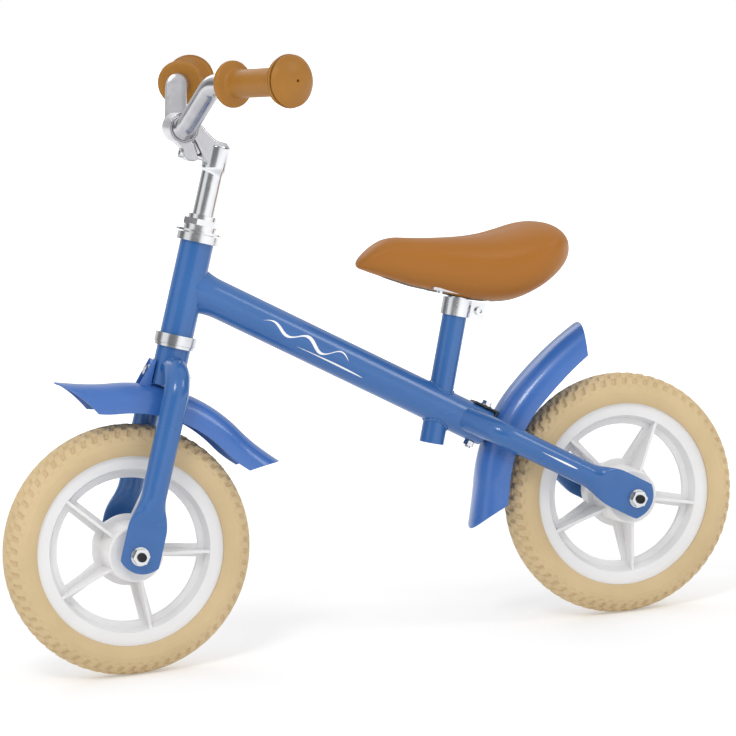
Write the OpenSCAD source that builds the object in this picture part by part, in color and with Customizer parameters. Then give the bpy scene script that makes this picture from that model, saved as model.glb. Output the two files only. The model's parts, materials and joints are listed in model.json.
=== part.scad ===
// Balance bike for a small child, with 10 inch wheels.
// +X is the way the bike rides, +Y is the rider's left and +Z is up.
// The origin lies on the ground, midway between the two axles.

/* [Wheels] */
// Distance between the two axles
wheelbase = 534; // [500:1:600]
// Outer diameter of the tyre
tyre_d = 254; // [240:1:270]
// Width of the tyre
tyre_w = 40.4; // [38:0.2:46]
// Height of the tyre over the lips of the rim
tyre_h = 31; // [26:0.5:36]
// Width of the rim over its lips
rim_w = 28.8; // [26:0.2:32]
// Diameter of the hub drum
hub_d = 56; // [46:1:64]
// Number of spokes in a wheel
spoke_count = 5; // [3:1:8]
// Width of a spoke's flat
spoke_w = 13; // [9:0.5:18]

/* [Axles] */
// Diameter of the axle rod
axle_d = 9.5; // [8:0.1:12]
// Distance between the inner faces of the two dropouts
dropout_gap = 95; // [90:1:110]
// Thickness of the flattened dropout
dropout_t = 4; // [3:0.5:6]
// Width of the flattened dropout
dropout_w = 40; // [34:1:46]
// Size across the flats of the axle nut
axle_nut_af = 15; // [13:1:17]

/* [Frame] */
// Angle of the steering axis, back from the vertical
rake = 17; // [12:0.5:22]
// Distance of the front axle ahead of the steering axis
fork_offset = 2; // [0:0.5:12]
// Outer diameter of the head tube and of the fork crown
head_d = 34; // [32:0.5:38]
// Length of the head tube
head_len = 95; // [70:1:120]
// Outer diameter of the main tube
main_d = 38.1; // [32:0.1:44]
// Outer diameter of the seat tube, the stays and the fork legs
tube_d = 25.4; // [22:0.1:28]
// Wall of every frame tube
tube_wall = 1.5; // [1.2:0.1:2.5]
// Lean of the seat tube, back from the vertical
seat_lean = 14.6; // [8:0.2:22]
// Distance from the rear axle to the seat tube, along the main tube
seat_joint = 224.6; // [210:0.2:250]
// Length of the seat tube above the main tube's axis
seat_tube_up = 111; // [90:1:150]
// Length of the seat tube below the main tube's axis
seat_tube_down = 39; // [30:1:60]

/* [Fork] */
// Outer diameter of the steerer tube
steerer_d = 25.4; // [25:0.1:26]
// Length of the crown tube
crown_len = 39; // [34:1:50]

/* [Fenders] */
// Distance from the tread of the tyre to the ridge of the fender
fender_gap = 40.5; // [36:0.5:50]
// Width of the fender
fender_w = 54; // [48:1:62]
// Wall of the fender
fender_t = 2.4; // [2:0.1:3.5]

/* [Stem and handlebar] */
// Outer diameter of the stem quill
quill_d = 22; // [21:0.1:22.2]
// Height of the handlebar clamp above the head tube
clamp_above = 108; // [95:1:130]
// Reach of the handlebar clamp ahead of the steering axis
clamp_reach = 42; // [36:1:60]
// Outer diameter of the handlebar
bar_d = 22.2; // [21:0.1:25]
// Outer diameter of the handlebar in its clamp
bar_clamp_d = 25.4; // [25:0.1:31.8]
// Distance of each grip's inner flange from the middle of the bike
grip_y = 100; // [90:1:120]
// Rise of the grips above the clamp, along the steering axis
bar_rise = 48.6; // [20:0.2:70]
// Length of the grip from its inner flange to its end cap
grip_len = 85; // [75:1:100]
// Diameter of the grip's hand part
grip_d = 27.6; // [26:0.2:32]

/* [Saddle] */
// Outer diameter of the seat post
post_d = 22.2; // [21:0.1:25]
// Length of the seat post under the saddle
post_len = 150; // [120:1:170]
// Length of the saddle
saddle_len = 226; // [200:1:250]
// Width of the saddle
saddle_w = 134; // [110:1:160]
// Distance from the tail of the saddle to the top of the seat tube
saddle_setback = 120.4; // [100:0.2:140]

/* [Hidden] */

// Colours
blue = [0.27, 0.45, 0.71];
cream = [0.86, 0.76, 0.58];
white = [0.90, 0.90, 0.91];
tan = [0.70, 0.47, 0.22];
chrome = [0.80, 0.81, 0.83];
satin = [0.70, 0.70, 0.72];
dark = [0.12, 0.12, 0.13];

// Clearances
eps = 0.01;
slip = 0.05;
gap = 0.3;
hole_clearance = 0.2;
reach_through = 400;

// Wheels, in a frame with its origin on the wheel's axle
tyre_r = tyre_d / 2;
rim_r = tyre_r - tyre_h;
rim_half = rim_w / 2;
rim_seat_r = rim_r - 5;
rim_face_r = rim_r - 13;
rim_web_r = rim_face_r - 4;
rim_inner_r = rim_web_r - 6;
rim_lip_t = 2;
web_half = 2.5;
bead_half = rim_half - rim_lip_t - 0.9;
hub_half = dropout_gap / 2 - 10.5;
hub_disc_r = hub_d / 2 + 8;
front_spoke_phase = 187;
rear_spoke_phase = 193;
rib_t = 3;

// Axles and what is threaded on them
axle_r = axle_d / 2;
axle_hole_r = axle_r + hole_clearance;
bush_r = axle_r + 2.6;
bush_len = 22;
bush_flange_r = 11;
bush_flange_t = 2;
dropout_in = dropout_gap / 2;
dropout_mid = dropout_in + dropout_t / 2;
dropout_out = dropout_in + dropout_t;
spacer_r = 8;
spacer_in = hub_half + bush_flange_t + gap;
axle_washer_r = 9.5;
axle_washer_t = 1.5;
axle_nut_t = 6;
axle_thread_half = dropout_out + axle_washer_t + axle_nut_t;
axle_tip_r = axle_r - 0.35;
axle_tip_len = 3;
axle_chamfer = 0.6;
dropout_end_r = 26;
dropout_end_centre = 8.5;
dropout_flat_len = 25;
dropout_taper_len = 36;
dropout_outline = [-17.3, -15.5, -12, -8];
dropout_squareness = 8;
hollow_from = 36;
taper_steps = 6;
bend_steps = 7;
ring_points = 24;

// Fenders, measured from the middle of their wheel
fender_r = tyre_r + fender_gap;
crown_height = fender_r + 1.5;

// Steering axis
steer_x = wheelbase / 2 - fork_offset * cos(rake);
steer_z = tyre_r - fork_offset * sin(rake);
head_bottom = crown_height + crown_len + 13;
head_top = head_bottom + head_len;
head_r = head_d / 2;
head_bore_r = head_r - 2;
clamp_height = head_top + clamp_above;
main_joint = head_bottom + head_len * 0.537;
main_r = main_d / 2;
tube_r = tube_d / 2;

// Main tube's own axis: from the rear axle to the steering axis
joint_x = steer_x - main_joint * sin(rake);
joint_z = steer_z + main_joint * cos(rake);
main_run = joint_x + wheelbase / 2;
main_climb = joint_z - tyre_r;
main_angle = atan2(main_climb, main_run);
main_reach = norm([main_run, main_climb]);
rear_fender_shift = [-7, 6];
rear_ridge_d = fender_r + rear_fender_shift.x * cos(main_angle) + rear_fender_shift.y * sin(main_angle);
bracket_t = 2;
bracket_d = rear_ridge_d + 0.1;
main_end = bracket_d + bracket_t + 1.7;
main_mitre = 8;
seat_x = seat_joint * cos(main_angle) - wheelbase / 2;
seat_z = seat_joint * sin(main_angle) + tyre_r;

// Stays and fork legs
tube_y = dropout_mid - 3.5;
stay_splay = 50;
stay_bend_r = 22;
stay_bend_start = main_end - 14.5;
stay_foot = 42;
leg_bend_r = 30;
leg_top = crown_height + 18;

// Headset
steerer_r = steerer_d / 2;
quill_r = quill_d / 2;
steerer_bore_r = quill_r + slip + 0.02;
cup_r = head_r + 4.2;
cup_h = 9.8;
cup_press_h = 8;
cup_bore_r = steerer_r + 0.6;
race_pocket_r = 18.4;
race_pocket_h = 4.6;
ball_r = 2;
ball_ring_r = 16.1;
ball_count = 16;
race_bottom = crown_height + crown_len;
race_t = head_bottom - cup_h - gap - race_bottom;
cone_bottom = head_top + cup_h - 1.8 + gap;
cone_disc_r = 23.7;
cone_disc_t = 2.2;
cone_h = 7.4;
cone_r = 16.6;
lock_washer_t = 1.2;
locknut_af = 32;
locknut_h = 6;
locknut_collar_r = 14.3;
locknut_collar_h = 4.4;
locknut_bottom = cone_bottom + cone_h + lock_washer_t;
steerer_top = locknut_bottom + locknut_h + 2;

// Bolts
m6_r = 3;
m6_hole_r = m6_r + hole_clearance;
m6_head_r = 5.2;
m6_head_h = 4;
m6_nut_af = 10;
m6_nut_h = 5;
m5_r = 2.5;
m5_hole_r = m5_r + hole_clearance;
m5_head_r = 4.4;
m5_head_h = 1.8;
m5_nut_h = 3;

// Fenders
fender_half = fender_w / 2;
fender_depth = 28.5;
fender_squareness = 2.4;
fender_rows = 25;
fender_cols = 17;
front_low_end = [90 + rake - 37.6, 90 + rake - 15, 16, 12];
front_high_end = [90 + rake + 49.3, 90 + rake + 31, 14, 6];
rear_low_end = [main_angle - 36.7, main_angle - 19.9, 9, 9];
rear_high_end = [main_angle + 47.1, main_angle + 15.1, 15.5, 3.5];
front_fender_shift = [4, 1];
front_fender_bolt_s = crown_height + 11;
tab_t = 3;
tab_half = 9;
tab_rib_t = 2;
tab_rib_foot = 12;
tab_in = head_r + 0.2;
tab_foot = crown_height - 5;
tab_h = front_fender_bolt_s + 12 - tab_foot;
bracket_half = 9;
bracket_drop = 14;
bracket_len = 27;
fender_screw_z = 7;
fender_screw_gap = 1.7; // the fender's inner face curves down by this much under the lower head
rear_bolt_d = main_end + 8.5;

// Seat collar, in the seat tube's own frame
collar_h = 18;
collar_r = tube_r + 2.6;
collar_top = seat_tube_up + 1.5;
collar_bottom = collar_top - collar_h;
ear_len = 15;
ear_half = 6;
clamp_slit = 2.5;
ear_bolt_x = -collar_r - 8;
ear_bolt_z = collar_top - 9;
seat_slot_len = 26;

// Seat post and saddle
post_r = post_d / 2;
seat_bore_r = post_r + slip;
saddle_under = collar_top + 1;
plate_z = saddle_under + 3.5;
plate_t = 3;
plate_len = 70;
plate_w = 40;
base_t = 7;
base_len = 120;
base_w = 46;
pocket_gap = 0.3;
screw_x = plate_len / 2 - 9;
screw_y = plate_w / 2 - 7;
post_wall = 1.6;
post_top = plate_z;

// Saddle sections: share of the length from the tail, half width share, underside and top.
// The heights are in world millimetres above the seat tube's top.
saddle_sections = [
    [0.000, 0.42, 29, 55], [0.045, 0.70, 18, 66], [0.110, 0.92, 8, 72.5], [0.200, 1.00, 0.5, 73],
    [0.310, 0.95, -5, 69.5], [0.420, 0.80, -3.5, 66], [0.560, 0.60, 4, 66], [0.710, 0.46, 14, 68],
    [0.840, 0.38, 24, 69.5], [0.920, 0.31, 30, 66], [0.975, 0.21, 36, 59], [1.000, 0.08, 42, 52]
];
saddle_tail_x = seat_x - collar_top * sin(seat_lean) - saddle_setback;
saddle_datum_z = seat_z + collar_top * cos(seat_lean) - 1.7;
section_t = 0.6;

// Stem
barrel_r = 15.7;
barrel_half = 14.5;
arm_half = 11;
spine_r = 12.6;
spine_bottom = clamp_height - 36;
spine_top = clamp_height - 5;
lug_slit = 2.6;
lug_slit_tilt = 32;
lug_slit_len = 31;
lug_front = clamp_reach - 8;
lug_bottom = clamp_height - 30;
lug_bolt_s = clamp_height - 24.5;
stem_drop = 40;
quill_bottom = front_fender_bolt_s + stem_drop + 40;
quill_bore_r = 7;
wedge_len = 22;
wedge_tilt = 35;
expander_r = 4;
expander_head_r = 6.4;
expander_head_h = 8;
expander_seat = spine_top - expander_head_h - 2;
lug_bolt_end = 10;
wedge_cut = 100;

// Handlebar: the grip line runs back and slightly up
grip_back = -0.357;
grip_up = 0.1225;
grip_out = sqrt(1 - grip_back * grip_back - grip_up * grip_up);
grip_dir = [grip_back, grip_out, grip_up];
grip_root = [clamp_reach - 15.9, grip_y, clamp_height + bar_rise];
bar_bend_y = 68;
bar_flat_half = 21;
bar_wall = 1.8;
bar_bend_len = 9;
bar_bulge_half = 17;
grip_flange_r = 23;
grip_flange_t = 7;
grip_flange_in = 5;
grip_cap_r = 26;
grip_cap_t = 8;
grip_dome_h = 10;
grip_dome_r = 24;
grip_cap_at = grip_len - 5;
bar_end_at = grip_len + 1;
vent_r = 1.3;

$fn = 64;

// ---- Helpers ----

function unit(v) = v / norm(v);
function mix(a, b, t) = a + (b - a) * t;
function ease(t) = t * t * (3 - 2 * t);

// Places children in the steering frame: origin beside the front axle, Z up the steering axis
module steering_frame() {
    translate([steer_x, 0, steer_z]) rotate([0, -rake, 0]) children();
}

// Places children in the main tube's frame: origin on the rear axle, X up the main tube
module main_frame() {
    translate([-wheelbase / 2, 0, tyre_r]) rotate([0, -main_angle, 0]) children();
}

// Places children in the seat tube's frame: origin on the main tube's axis, Z up the seat tube
module seat_frame() {
    translate([seat_x, 0, seat_z]) rotate([0, -seat_lean, 0]) children();
}

// Places children on the left grip's axis, Z outwards, or on the right one's
module grip_frame(side) {
    mirror([0, side == "left" ? 0 : 1, 0]) steering_frame() translate(grip_root) aim(grip_dir) children();
}

// Turns Z onto a direction
module aim(v) {
    rotate([0, acos(v.z / norm(v)), atan2(v.y, v.x)]) children();
}

// Cylinder between two points
module rod(a, b, r) {
    translate(a) aim(b - a) cylinder(h = norm(b - a), r = r);
}

// Closed skin through a list of rings with the same number of points. A looped skin joins its last
// ring to its first; the others have a flat cap on both.
module loft(rings, looped) {
    n = len(rings[0]);
    last = len(rings) - 1;
    spans = looped ? last : last - 1;
    sides = [
        for (i = [0 : spans])
            for (j = [0 : n - 1])
                let (k = (j + 1) % n, next = (i + 1) % (last + 1))
                    [i * n + j, next * n + j, next * n + k, i * n + k]
    ];
    caps = looped ? [] : [[for (j = [0 : n - 1]) j], [for (j = [n - 1 : -1 : 0]) last * n + j]];
    polyhedron([for (ring = rings) each ring], concat(sides, caps));
}

function reversed(list) = [for (i = [len(list) - 1 : -1 : 0]) list[i]];

// Ring with a round bore
module ring(h, outer, inner) {
    difference() {
        cylinder(h = h, r = outer);
        translate([0, 0, -eps]) cylinder(h = h + 2 * eps, r = inner);
    }
}

// Hexagon prism with a round bore
module hex_nut(h, af, bore) {
    difference() {
        cylinder(h = h, r = af / 2 / cos(30), $fn = 6);
        translate([0, 0, -eps]) cylinder(h = h + 2 * eps, r = bore);
    }
}

// Both of a left and right pair, from the left one
module both_sides() {
    children();
    mirror([0, 1, 0]) children();
}

// Turns Z onto +Y
module along_y() {
    rotate([-90, 0, 0]) children();
}

// ---- Squashed tubes, shared by the stays and the fork legs ----
// Frame: X up the tube from the axle, Y outwards, Z across the flat

// Ring round a point of the tube's middle line, turned about Z: half width a across the flat, half
// thickness b, and a squareness that is 2 for a round tube
function tube_ring(centre, turn, a, b, squareness) = [
    for (i = [0 : ring_points - 1])
        let (
            q = 360 * i / ring_points,
            across = a * sign(cos(q)) * pow(abs(cos(q)), 2 / squareness),
            out = b * sign(sin(q)) * pow(abs(sin(q)), 2 / squareness)
        )
        [centre.x - out * sin(turn), centre.y + out * cos(turn), across]
];

// Half the width of the dropout's outline, an arc round the axle and then straight
function dropout_half(d) = d > 0
    ? dropout_w / 2
    : min(dropout_w / 2, sqrt(pow(dropout_end_r, 2) - pow(d - dropout_end_centre, 2)));

// Ring at a distance from the axle, with a wall taken off: flat at first, then a round tube
function dropout_ring(d, wall) =
    let (t = ease(min(1, max(0, (d - dropout_flat_len) / dropout_taper_len))))
    tube_ring([d, mix(dropout_mid, tube_y, t)], 0, mix(dropout_half(d), tube_r, t) - wall,
        mix(dropout_t / 2, tube_r, t) - wall, mix(dropout_squareness, 2, t));

// Rings of the dropout and its taper, from a distance up the tube
function dropout_rings(from, wall) = concat(
    [for (d = dropout_outline) if (d > from) dropout_ring(d, wall)],
    [
        for (i = [0 : taper_steps])
            let (d = dropout_flat_len + dropout_taper_len * i / taper_steps)
                if (d > from) dropout_ring(d, wall)
    ]
);

// Rings of the round tube's bend towards the middle of the bike, and of its end
function bend_rings(start, bend_r, splay, rest, wall) =
    let (
        r = tube_r - wall,
        out = [start + bend_r * sin(splay), tube_y - bend_r * (1 - cos(splay))]
    )
    concat(
        [
            for (i = [0 : bend_steps])
                let (a = splay * i / bend_steps)
                    tube_ring([start + bend_r * sin(a), tube_y - bend_r * (1 - cos(a))], -a, r, r, 2)
        ],
        [tube_ring(out + rest * [cos(splay), -sin(splay)], -splay, r, r, 2)]
    );

// Hollow tube: squashed shut at the axle, straight, bent, and open where it is welded on
module squashed_tube(bend_start, bend_r, splay, rest) {
    loft(concat(
        dropout_rings(-dropout_w, 0),
        bend_rings(bend_start, bend_r, splay, rest, 0),
        reversed(concat(
            dropout_rings(hollow_from, tube_wall),
            bend_rings(bend_start, bend_r, splay, rest, tube_wall)
        ))
    ), false);
}

module axle_hole(along, across) {
    translate([along, 0, across]) along_y() cylinder(h = reach_through, r = axle_hole_r);
}

// ---- Frame ----

module main_tube() {
    color(blue) difference() {
        main_frame() translate([main_end, 0, 0]) rotate([0, 90, 0])
            ring(main_reach - main_end - main_mitre, main_r, main_r - tube_wall);
        steering_frame() translate([0, 0, head_bottom]) cylinder(h = head_len, r = head_r);
        seat_frame() translate([0, 0, -seat_tube_down])
            cylinder(h = seat_tube_down + seat_tube_up, r = tube_r);
        main_frame() translate([rear_bolt_d, 0, -reach_through / 2])
            cylinder(h = reach_through, r = m6_hole_r);
    }
}

module head_tube() {
    color(blue) steering_frame() translate([0, 0, head_bottom]) ring(head_len, head_r, head_bore_r);
}

module seat_tube() {
    color(blue) seat_frame() difference() {
        translate([0, 0, -seat_tube_down]) ring(seat_tube_down + seat_tube_up, tube_r, seat_bore_r);
        translate([-tube_r - eps, -clamp_slit / 2, seat_tube_up - seat_slot_len])
            cube([tube_r, clamp_slit, seat_slot_len + eps]);
    }
}

module left_stay() {
    color(blue) main_frame() difference() {
        squashed_tube(stay_bend_start, stay_bend_r, stay_splay, stay_foot);
        axle_hole(0, 0);
        rotate([0, 90, 0]) cylinder(h = reach_through, r = main_r);
    }
}

module right_stay() {
    mirror([0, 1, 0]) left_stay();
}

// ---- Headset ----

// Cup with its flange from 0 to cup_h, the race pocket at 0 and the pressed skirt above
module headset_cup(flange_h) {
    difference() {
        union() {
            cylinder(h = flange_h, r = cup_r);
            cylinder(h = flange_h + cup_press_h, r = head_bore_r);
        }
        translate([0, 0, -eps]) cylinder(h = flange_h + cup_press_h + 2 * eps, r = cup_bore_r);
        translate([0, 0, -eps]) cylinder(h = race_pocket_h + eps, r = race_pocket_r);
    }
}

// Ring of balls held in a thin cage
module ball_ring() {
    ring(0.8, ball_ring_r + 0.9, ball_ring_r - 0.9);
    for (i = [0 : ball_count - 1])
        rotate([0, 0, i * 360 / ball_count]) translate([ball_ring_r, 0, 0.4]) sphere(r = ball_r, $fn = 24);
}

module lower_headset_cup() {
    color(chrome) steering_frame() translate([0, 0, head_bottom - cup_h]) headset_cup(cup_h);
}

module upper_headset_cup() {
    color(chrome) steering_frame() translate([0, 0, head_top + cup_h - 1.8]) mirror([0, 0, 1])
        headset_cup(cup_h - 1.8);
}

module crown_race() {
    color(chrome) steering_frame() translate([0, 0, race_bottom]) difference() {
        union() {
            cylinder(h = race_t, r = cup_r - 1);
            cylinder(h = race_t + 1.5, r = ball_ring_r - ball_r - 0.2);
        }
        translate([0, 0, -eps]) cylinder(h = cup_h, r = steerer_r);
    }
}

module lower_headset_balls() {
    color(chrome) steering_frame() translate([0, 0, race_bottom + race_t + ball_r]) ball_ring();
}

module upper_headset_balls() {
    color(chrome) steering_frame() translate([0, 0, cone_bottom - ball_r - 0.9]) ball_ring();
}

module adjusting_cone() {
    color(chrome) steering_frame() difference() {
        union() {
            translate([0, 0, cone_bottom]) cylinder(h = cone_h, r = cone_r);
            translate([0, 0, cone_bottom + 0.8]) cylinder(h = cone_disc_t, r = cone_disc_r);
            translate([0, 0, cone_bottom - 2]) cylinder(h = 3, r = ball_ring_r - ball_r - 0.2);
        }
        translate([0, 0, cone_bottom - 3]) cylinder(h = cone_h + 4, r = steerer_r);
    }
}

module lock_washer() {
    color(chrome) steering_frame() translate([0, 0, cone_bottom + cone_h])
        ring(lock_washer_t, cone_r + 1, steerer_r);
}

module headset_locknut() {
    color(chrome) steering_frame() translate([0, 0, locknut_bottom]) {
        hex_nut(locknut_h, locknut_af, steerer_r);
        translate([0, 0, locknut_h]) ring(locknut_collar_h, locknut_collar_r, steerer_r);
    }
}

// ---- Seat clamp ----

module seat_collar() {
    color(chrome) seat_frame() difference() {
        union() {
            translate([0, 0, collar_bottom]) cylinder(h = collar_h, r = collar_r);
            translate([-collar_r - ear_len + 1, -ear_half, collar_bottom])
                cube([ear_len + 2, 2 * ear_half, collar_h]);
        }
        translate([0, 0, collar_bottom - eps]) cylinder(h = collar_h + 2 * eps, r = tube_r);
        translate([-collar_r - ear_len, -clamp_slit / 2, collar_bottom - eps])
            cube([collar_r + ear_len, clamp_slit, collar_h + 2 * eps]);
        translate([ear_bolt_x, -reach_through / 2, ear_bolt_z]) along_y()
            cylinder(h = reach_through, r = m5_hole_r);
    }
}

module seat_collar_bolt() {
    color(chrome) seat_frame() translate([ear_bolt_x, ear_half, ear_bolt_z]) along_y() {
        cap_screw(2 * ear_half + m5_nut_h + 1, m5_r, m5_head_r, m5_r * 1.6, m5_r * 0.9);
        translate([0, 0, -2 * ear_half - m5_nut_h]) cylinder(h = m5_nut_h, r = m5_head_r, $fn = 6);
    }
}

// ---- Fenders ----
// Frame: the wheel's own plane, X and Z, with the ridge outermost

// Share of a cross section's height and width at an angle round it, squarer than a circle
function section_up(u) = pow(sin(u), 2 / fender_squareness);
function section_out(u) = sign(cos(u)) * pow(abs(cos(u)), 2 / fender_squareness);

// How far the ridge is turned up at an angle; an end is [tip angle, start of the turn, height, slant]
function flare(a, end) =
    end[2] * pow(max(0, (end[1] - a) / (end[1] - end[0])), 2);

// Angle at which an end stops, less at the ridge than at the sides
function end_angle(end, u, towards) = end[0] + towards * end[3] * pow(1 - section_up(u), 0.7);

// Point of the shell: t runs along the fender, u across it, inset is 0 outside and the wall inside
function fender_point(low, high, t, u, inset) =
    let (
        a = end_angle(low, u, 1) * (1 - t) + end_angle(high, u, -1) * t,
        turn_up = flare(a, low) + flare(-a, [-high[0], -high[1], high[2]]),
        r = fender_r + turn_up - inset - (fender_depth - inset) * (1 - section_up(u))
    )
    [r * cos(a), (fender_half - inset) * section_out(u), r * sin(a)];

module fender_shell(low, high) {
    rows = fender_rows;
    cols = fender_cols;
    skin = rows * cols;
    points = [
        for (inset = [0, fender_t])
            for (i = [0 : rows - 1])
                for (j = [0 : cols - 1])
                    fender_point(low, high, i / (rows - 1), 180 * j / (cols - 1), inset)
    ];
    outside = [
        for (i = [0 : rows - 2])
            for (j = [0 : cols - 2])
                [i * cols + j, i * cols + j + 1, (i + 1) * cols + j + 1, (i + 1) * cols + j]
    ];
    inside = [for (f = outside) [f[3] + skin, f[2] + skin, f[1] + skin, f[0] + skin]];
    sides = [
        for (i = [0 : rows - 2])
            for (j = [0, cols - 1])
                let (p = i * cols + j, q = p + cols)
                    j == 0 ? [p, q, q + skin, p + skin] : [q, p, p + skin, q + skin]
    ];
    ends = [
        for (i = [0, rows - 1])
            for (j = [0 : cols - 2])
                let (p = i * cols + j, q = p + 1)
                    i == 0 ? [q, p, p + skin, q + skin] : [p, q, q + skin, p + skin]
    ];
    polyhedron(points, concat(outside, inside, sides, ends));
}

// Side view of one of the ribs that stiffen the tab
module tab_rib_outline() {
    polygon([[0, 0], [tab_rib_foot, 0], [tab_t, tab_h], [0, tab_h]]);
}

module front_fender() {
    color(blue) {
        translate([wheelbase / 2 + front_fender_shift.x, 0, tyre_r + front_fender_shift.y])
            fender_shell(front_low_end, front_high_end);
        steering_frame() difference() {
            translate([tab_in, 0, tab_foot]) {
                translate([0, -tab_half, 0]) cube([tab_t, 2 * tab_half, tab_h]);
                for (y = [-tab_half, tab_half - tab_rib_t])
                    translate([0, y + tab_rib_t, 0]) rotate([90, 0, 0])
                        linear_extrude(tab_rib_t) tab_rib_outline();
            }
            translate([0, 0, front_fender_bolt_s]) rotate([0, 90, 0])
                cylinder(h = reach_through, r = m6_hole_r);
        }
    }
}

module front_fender_bolt() {
    tip = -head_r - m6_nut_h - 1.5;
    root = tab_in + tab_t;
    color(chrome) steering_frame() translate([0, 0, front_fender_bolt_s]) rotate([0, 90, 0]) {
        translate([0, 0, tip]) cylinder(h = root - tip + eps, r = m6_r);
        translate([0, 0, root]) cylinder(h = 1.2, r = 6.5);
        translate([0, 0, root + 1.2 - eps]) cylinder(h = m6_head_h, r = m6_head_r, $fn = 6);
    }
}

module front_fender_nut() {
    color(chrome) steering_frame() translate([-head_r - m6_nut_h, 0, front_fender_bolt_s])
        rotate([0, 90, 0]) hex_nut(m6_nut_h, m6_nut_af, m6_r);
}

// The two screws that hold the rear fender, along the main tube's axis
module at_fender_screws() {
    for (z = [-fender_screw_z, fender_screw_z])
        translate([rear_ridge_d, 0, z]) rotate([0, 90, 0]) children();
}

module fender_screw_holes() {
    at_fender_screws() translate([0, 0, -fender_depth]) cylinder(h = 2 * fender_depth, r = m5_hole_r);
}

module rear_fender() {
    color(blue) difference() {
        translate([rear_fender_shift.x - wheelbase / 2, 0, tyre_r + rear_fender_shift.y])
            fender_shell(rear_low_end, rear_high_end);
        main_frame() fender_screw_holes();
    }
}

module rear_fender_bracket() {
    color(dark) main_frame() difference() {
        translate([bracket_d, -bracket_half, 0]) {
            translate([0, 0, -bracket_drop])
                cube([bracket_t, 2 * bracket_half, bracket_drop + main_r + bracket_t]);
            translate([0, 0, main_r]) cube([bracket_len, 2 * bracket_half, bracket_t]);
        }
        translate([rear_bolt_d, 0, 0]) cylinder(h = reach_through, r = m6_hole_r);
        fender_screw_holes();
    }
}

module rear_fender_screws() {
    head_at = -fender_t - m5_head_h - fender_screw_gap;
    nut_at = bracket_d + bracket_t - rear_ridge_d;
    color(dark) main_frame() at_fender_screws() {
        translate([0, 0, head_at]) cylinder(h = nut_at + m5_nut_h - head_at + 1, r = m5_r);
        translate([0, 0, head_at]) cylinder(h = m5_head_h, r = m5_head_r);
        translate([0, 0, nut_at]) cylinder(h = m5_nut_h, r = m5_head_r, $fn = 6);
    }
}

module rear_fender_bolt() {
    head_at = main_r + bracket_t;
    tip = -main_r - m6_nut_h - 2;
    color(chrome) main_frame() translate([rear_bolt_d, 0, 0]) {
        translate([0, 0, tip]) cylinder(h = head_at - tip + eps, r = m6_r);
        translate([0, 0, head_at]) cylinder(h = 1, r = 6.5);
        translate([0, 0, head_at + 1 - eps]) cylinder(h = m6_head_h, r = m6_head_r, $fn = 6);
    }
}

module rear_fender_nut() {
    color(chrome) main_frame() translate([rear_bolt_d, 0, -main_r - m6_nut_h])
        hex_nut(m6_nut_h, m6_nut_af, m6_r);
}

// ---- Axle hardware, in a frame with its origin on the axle ----

// Threaded rod with a plain, slightly thinner tip at each end
module axle_rod() {
    tip_at = axle_thread_half + axle_tip_len;
    color(dark) {
        translate([0, -axle_thread_half, 0]) along_y() cylinder(h = 2 * axle_thread_half, r = axle_r);
        both_sides() translate([0, axle_thread_half - eps, 0]) along_y()
            cylinder(h = axle_tip_len + eps, r = axle_tip_r);
        both_sides() translate([0, tip_at - eps, 0]) along_y()
            cylinder(h = axle_chamfer + eps, r1 = axle_tip_r, r2 = axle_tip_r - axle_chamfer);
    }
}

module axle_spacers() {
    color(satin) both_sides() translate([0, spacer_in, 0]) along_y()
        ring(dropout_in - spacer_in, spacer_r, axle_r);
}

module axle_washers() {
    color(chrome) both_sides() translate([0, dropout_out, 0]) along_y()
        ring(axle_washer_t, axle_washer_r, axle_r);
}

module axle_nuts() {
    color(chrome) both_sides() translate([0, dropout_out + axle_washer_t, 0]) along_y()
        hex_nut(axle_nut_t, axle_nut_af, axle_r);
}

module at_front() {
    translate([wheelbase / 2, 0, tyre_r]) children();
}

module at_rear() {
    translate([-wheelbase / 2, 0, tyre_r]) children();
}

module front_axle() { at_front() axle_rod(); }
module front_axle_spacers() { at_front() axle_spacers(); }
module front_axle_washers() { at_front() axle_washers(); }
module front_axle_nuts() { at_front() axle_nuts(); }
module rear_axle() { at_rear() axle_rod(); }
module rear_axle_spacers() { at_rear() axle_spacers(); }
module rear_axle_washers() { at_rear() axle_washers(); }
module rear_axle_nuts() { at_rear() axle_nuts(); }

// ---- Fork ----

module fork_steerer() {
    color(chrome) steering_frame() difference() {
        translate([0, 0, crown_height]) ring(steerer_top - crown_height, steerer_r, steerer_bore_r);
        translate([-reach_through / 2, 0, front_fender_bolt_s]) rotate([0, 90, 0])
            cylinder(h = reach_through, r = m6_hole_r);
    }
}

module fork_crown() {
    color(blue) steering_frame() difference() {
        translate([0, 0, crown_height]) ring(crown_len, head_r, steerer_r);
        translate([-reach_through / 2, 0, front_fender_bolt_s]) rotate([0, 90, 0])
            cylinder(h = reach_through, r = m6_hole_r);
    }
}

module left_fork_leg() {
    color(blue) steering_frame() difference() {
        rotate([0, -90, 0])
            squashed_tube(leg_top - leg_bend_r, leg_bend_r, 90, tube_y - leg_bend_r - steerer_r + 1);
        translate([fork_offset, 0, 0]) along_y() cylinder(h = reach_through, r = axle_hole_r);
        translate([0, 0, crown_height - 20]) cylinder(h = crown_len + 40, r = head_r);
    }
}

module right_fork_leg() {
    mirror([0, 1, 0]) left_fork_leg();
}

// ---- Wheels, in a frame with its origin on the axle ----

module tyre() {
    tube_centre = tyre_r - tyre_w / 2;
    color(cream) along_y() rotate_extrude($fn = 128) {
        difference() {
            translate([tube_centre, 0]) circle(r = tyre_w / 2);
            translate([0, -tyre_w]) square([rim_r, 2 * tyre_w]);
        }
        polygon([
            [rim_seat_r, -bead_half], [rim_r + eps, -rim_half + rim_lip_t],
            [rim_r + eps, rim_half - rim_lip_t], [rim_seat_r, bead_half]
        ]);
    }
}

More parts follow.
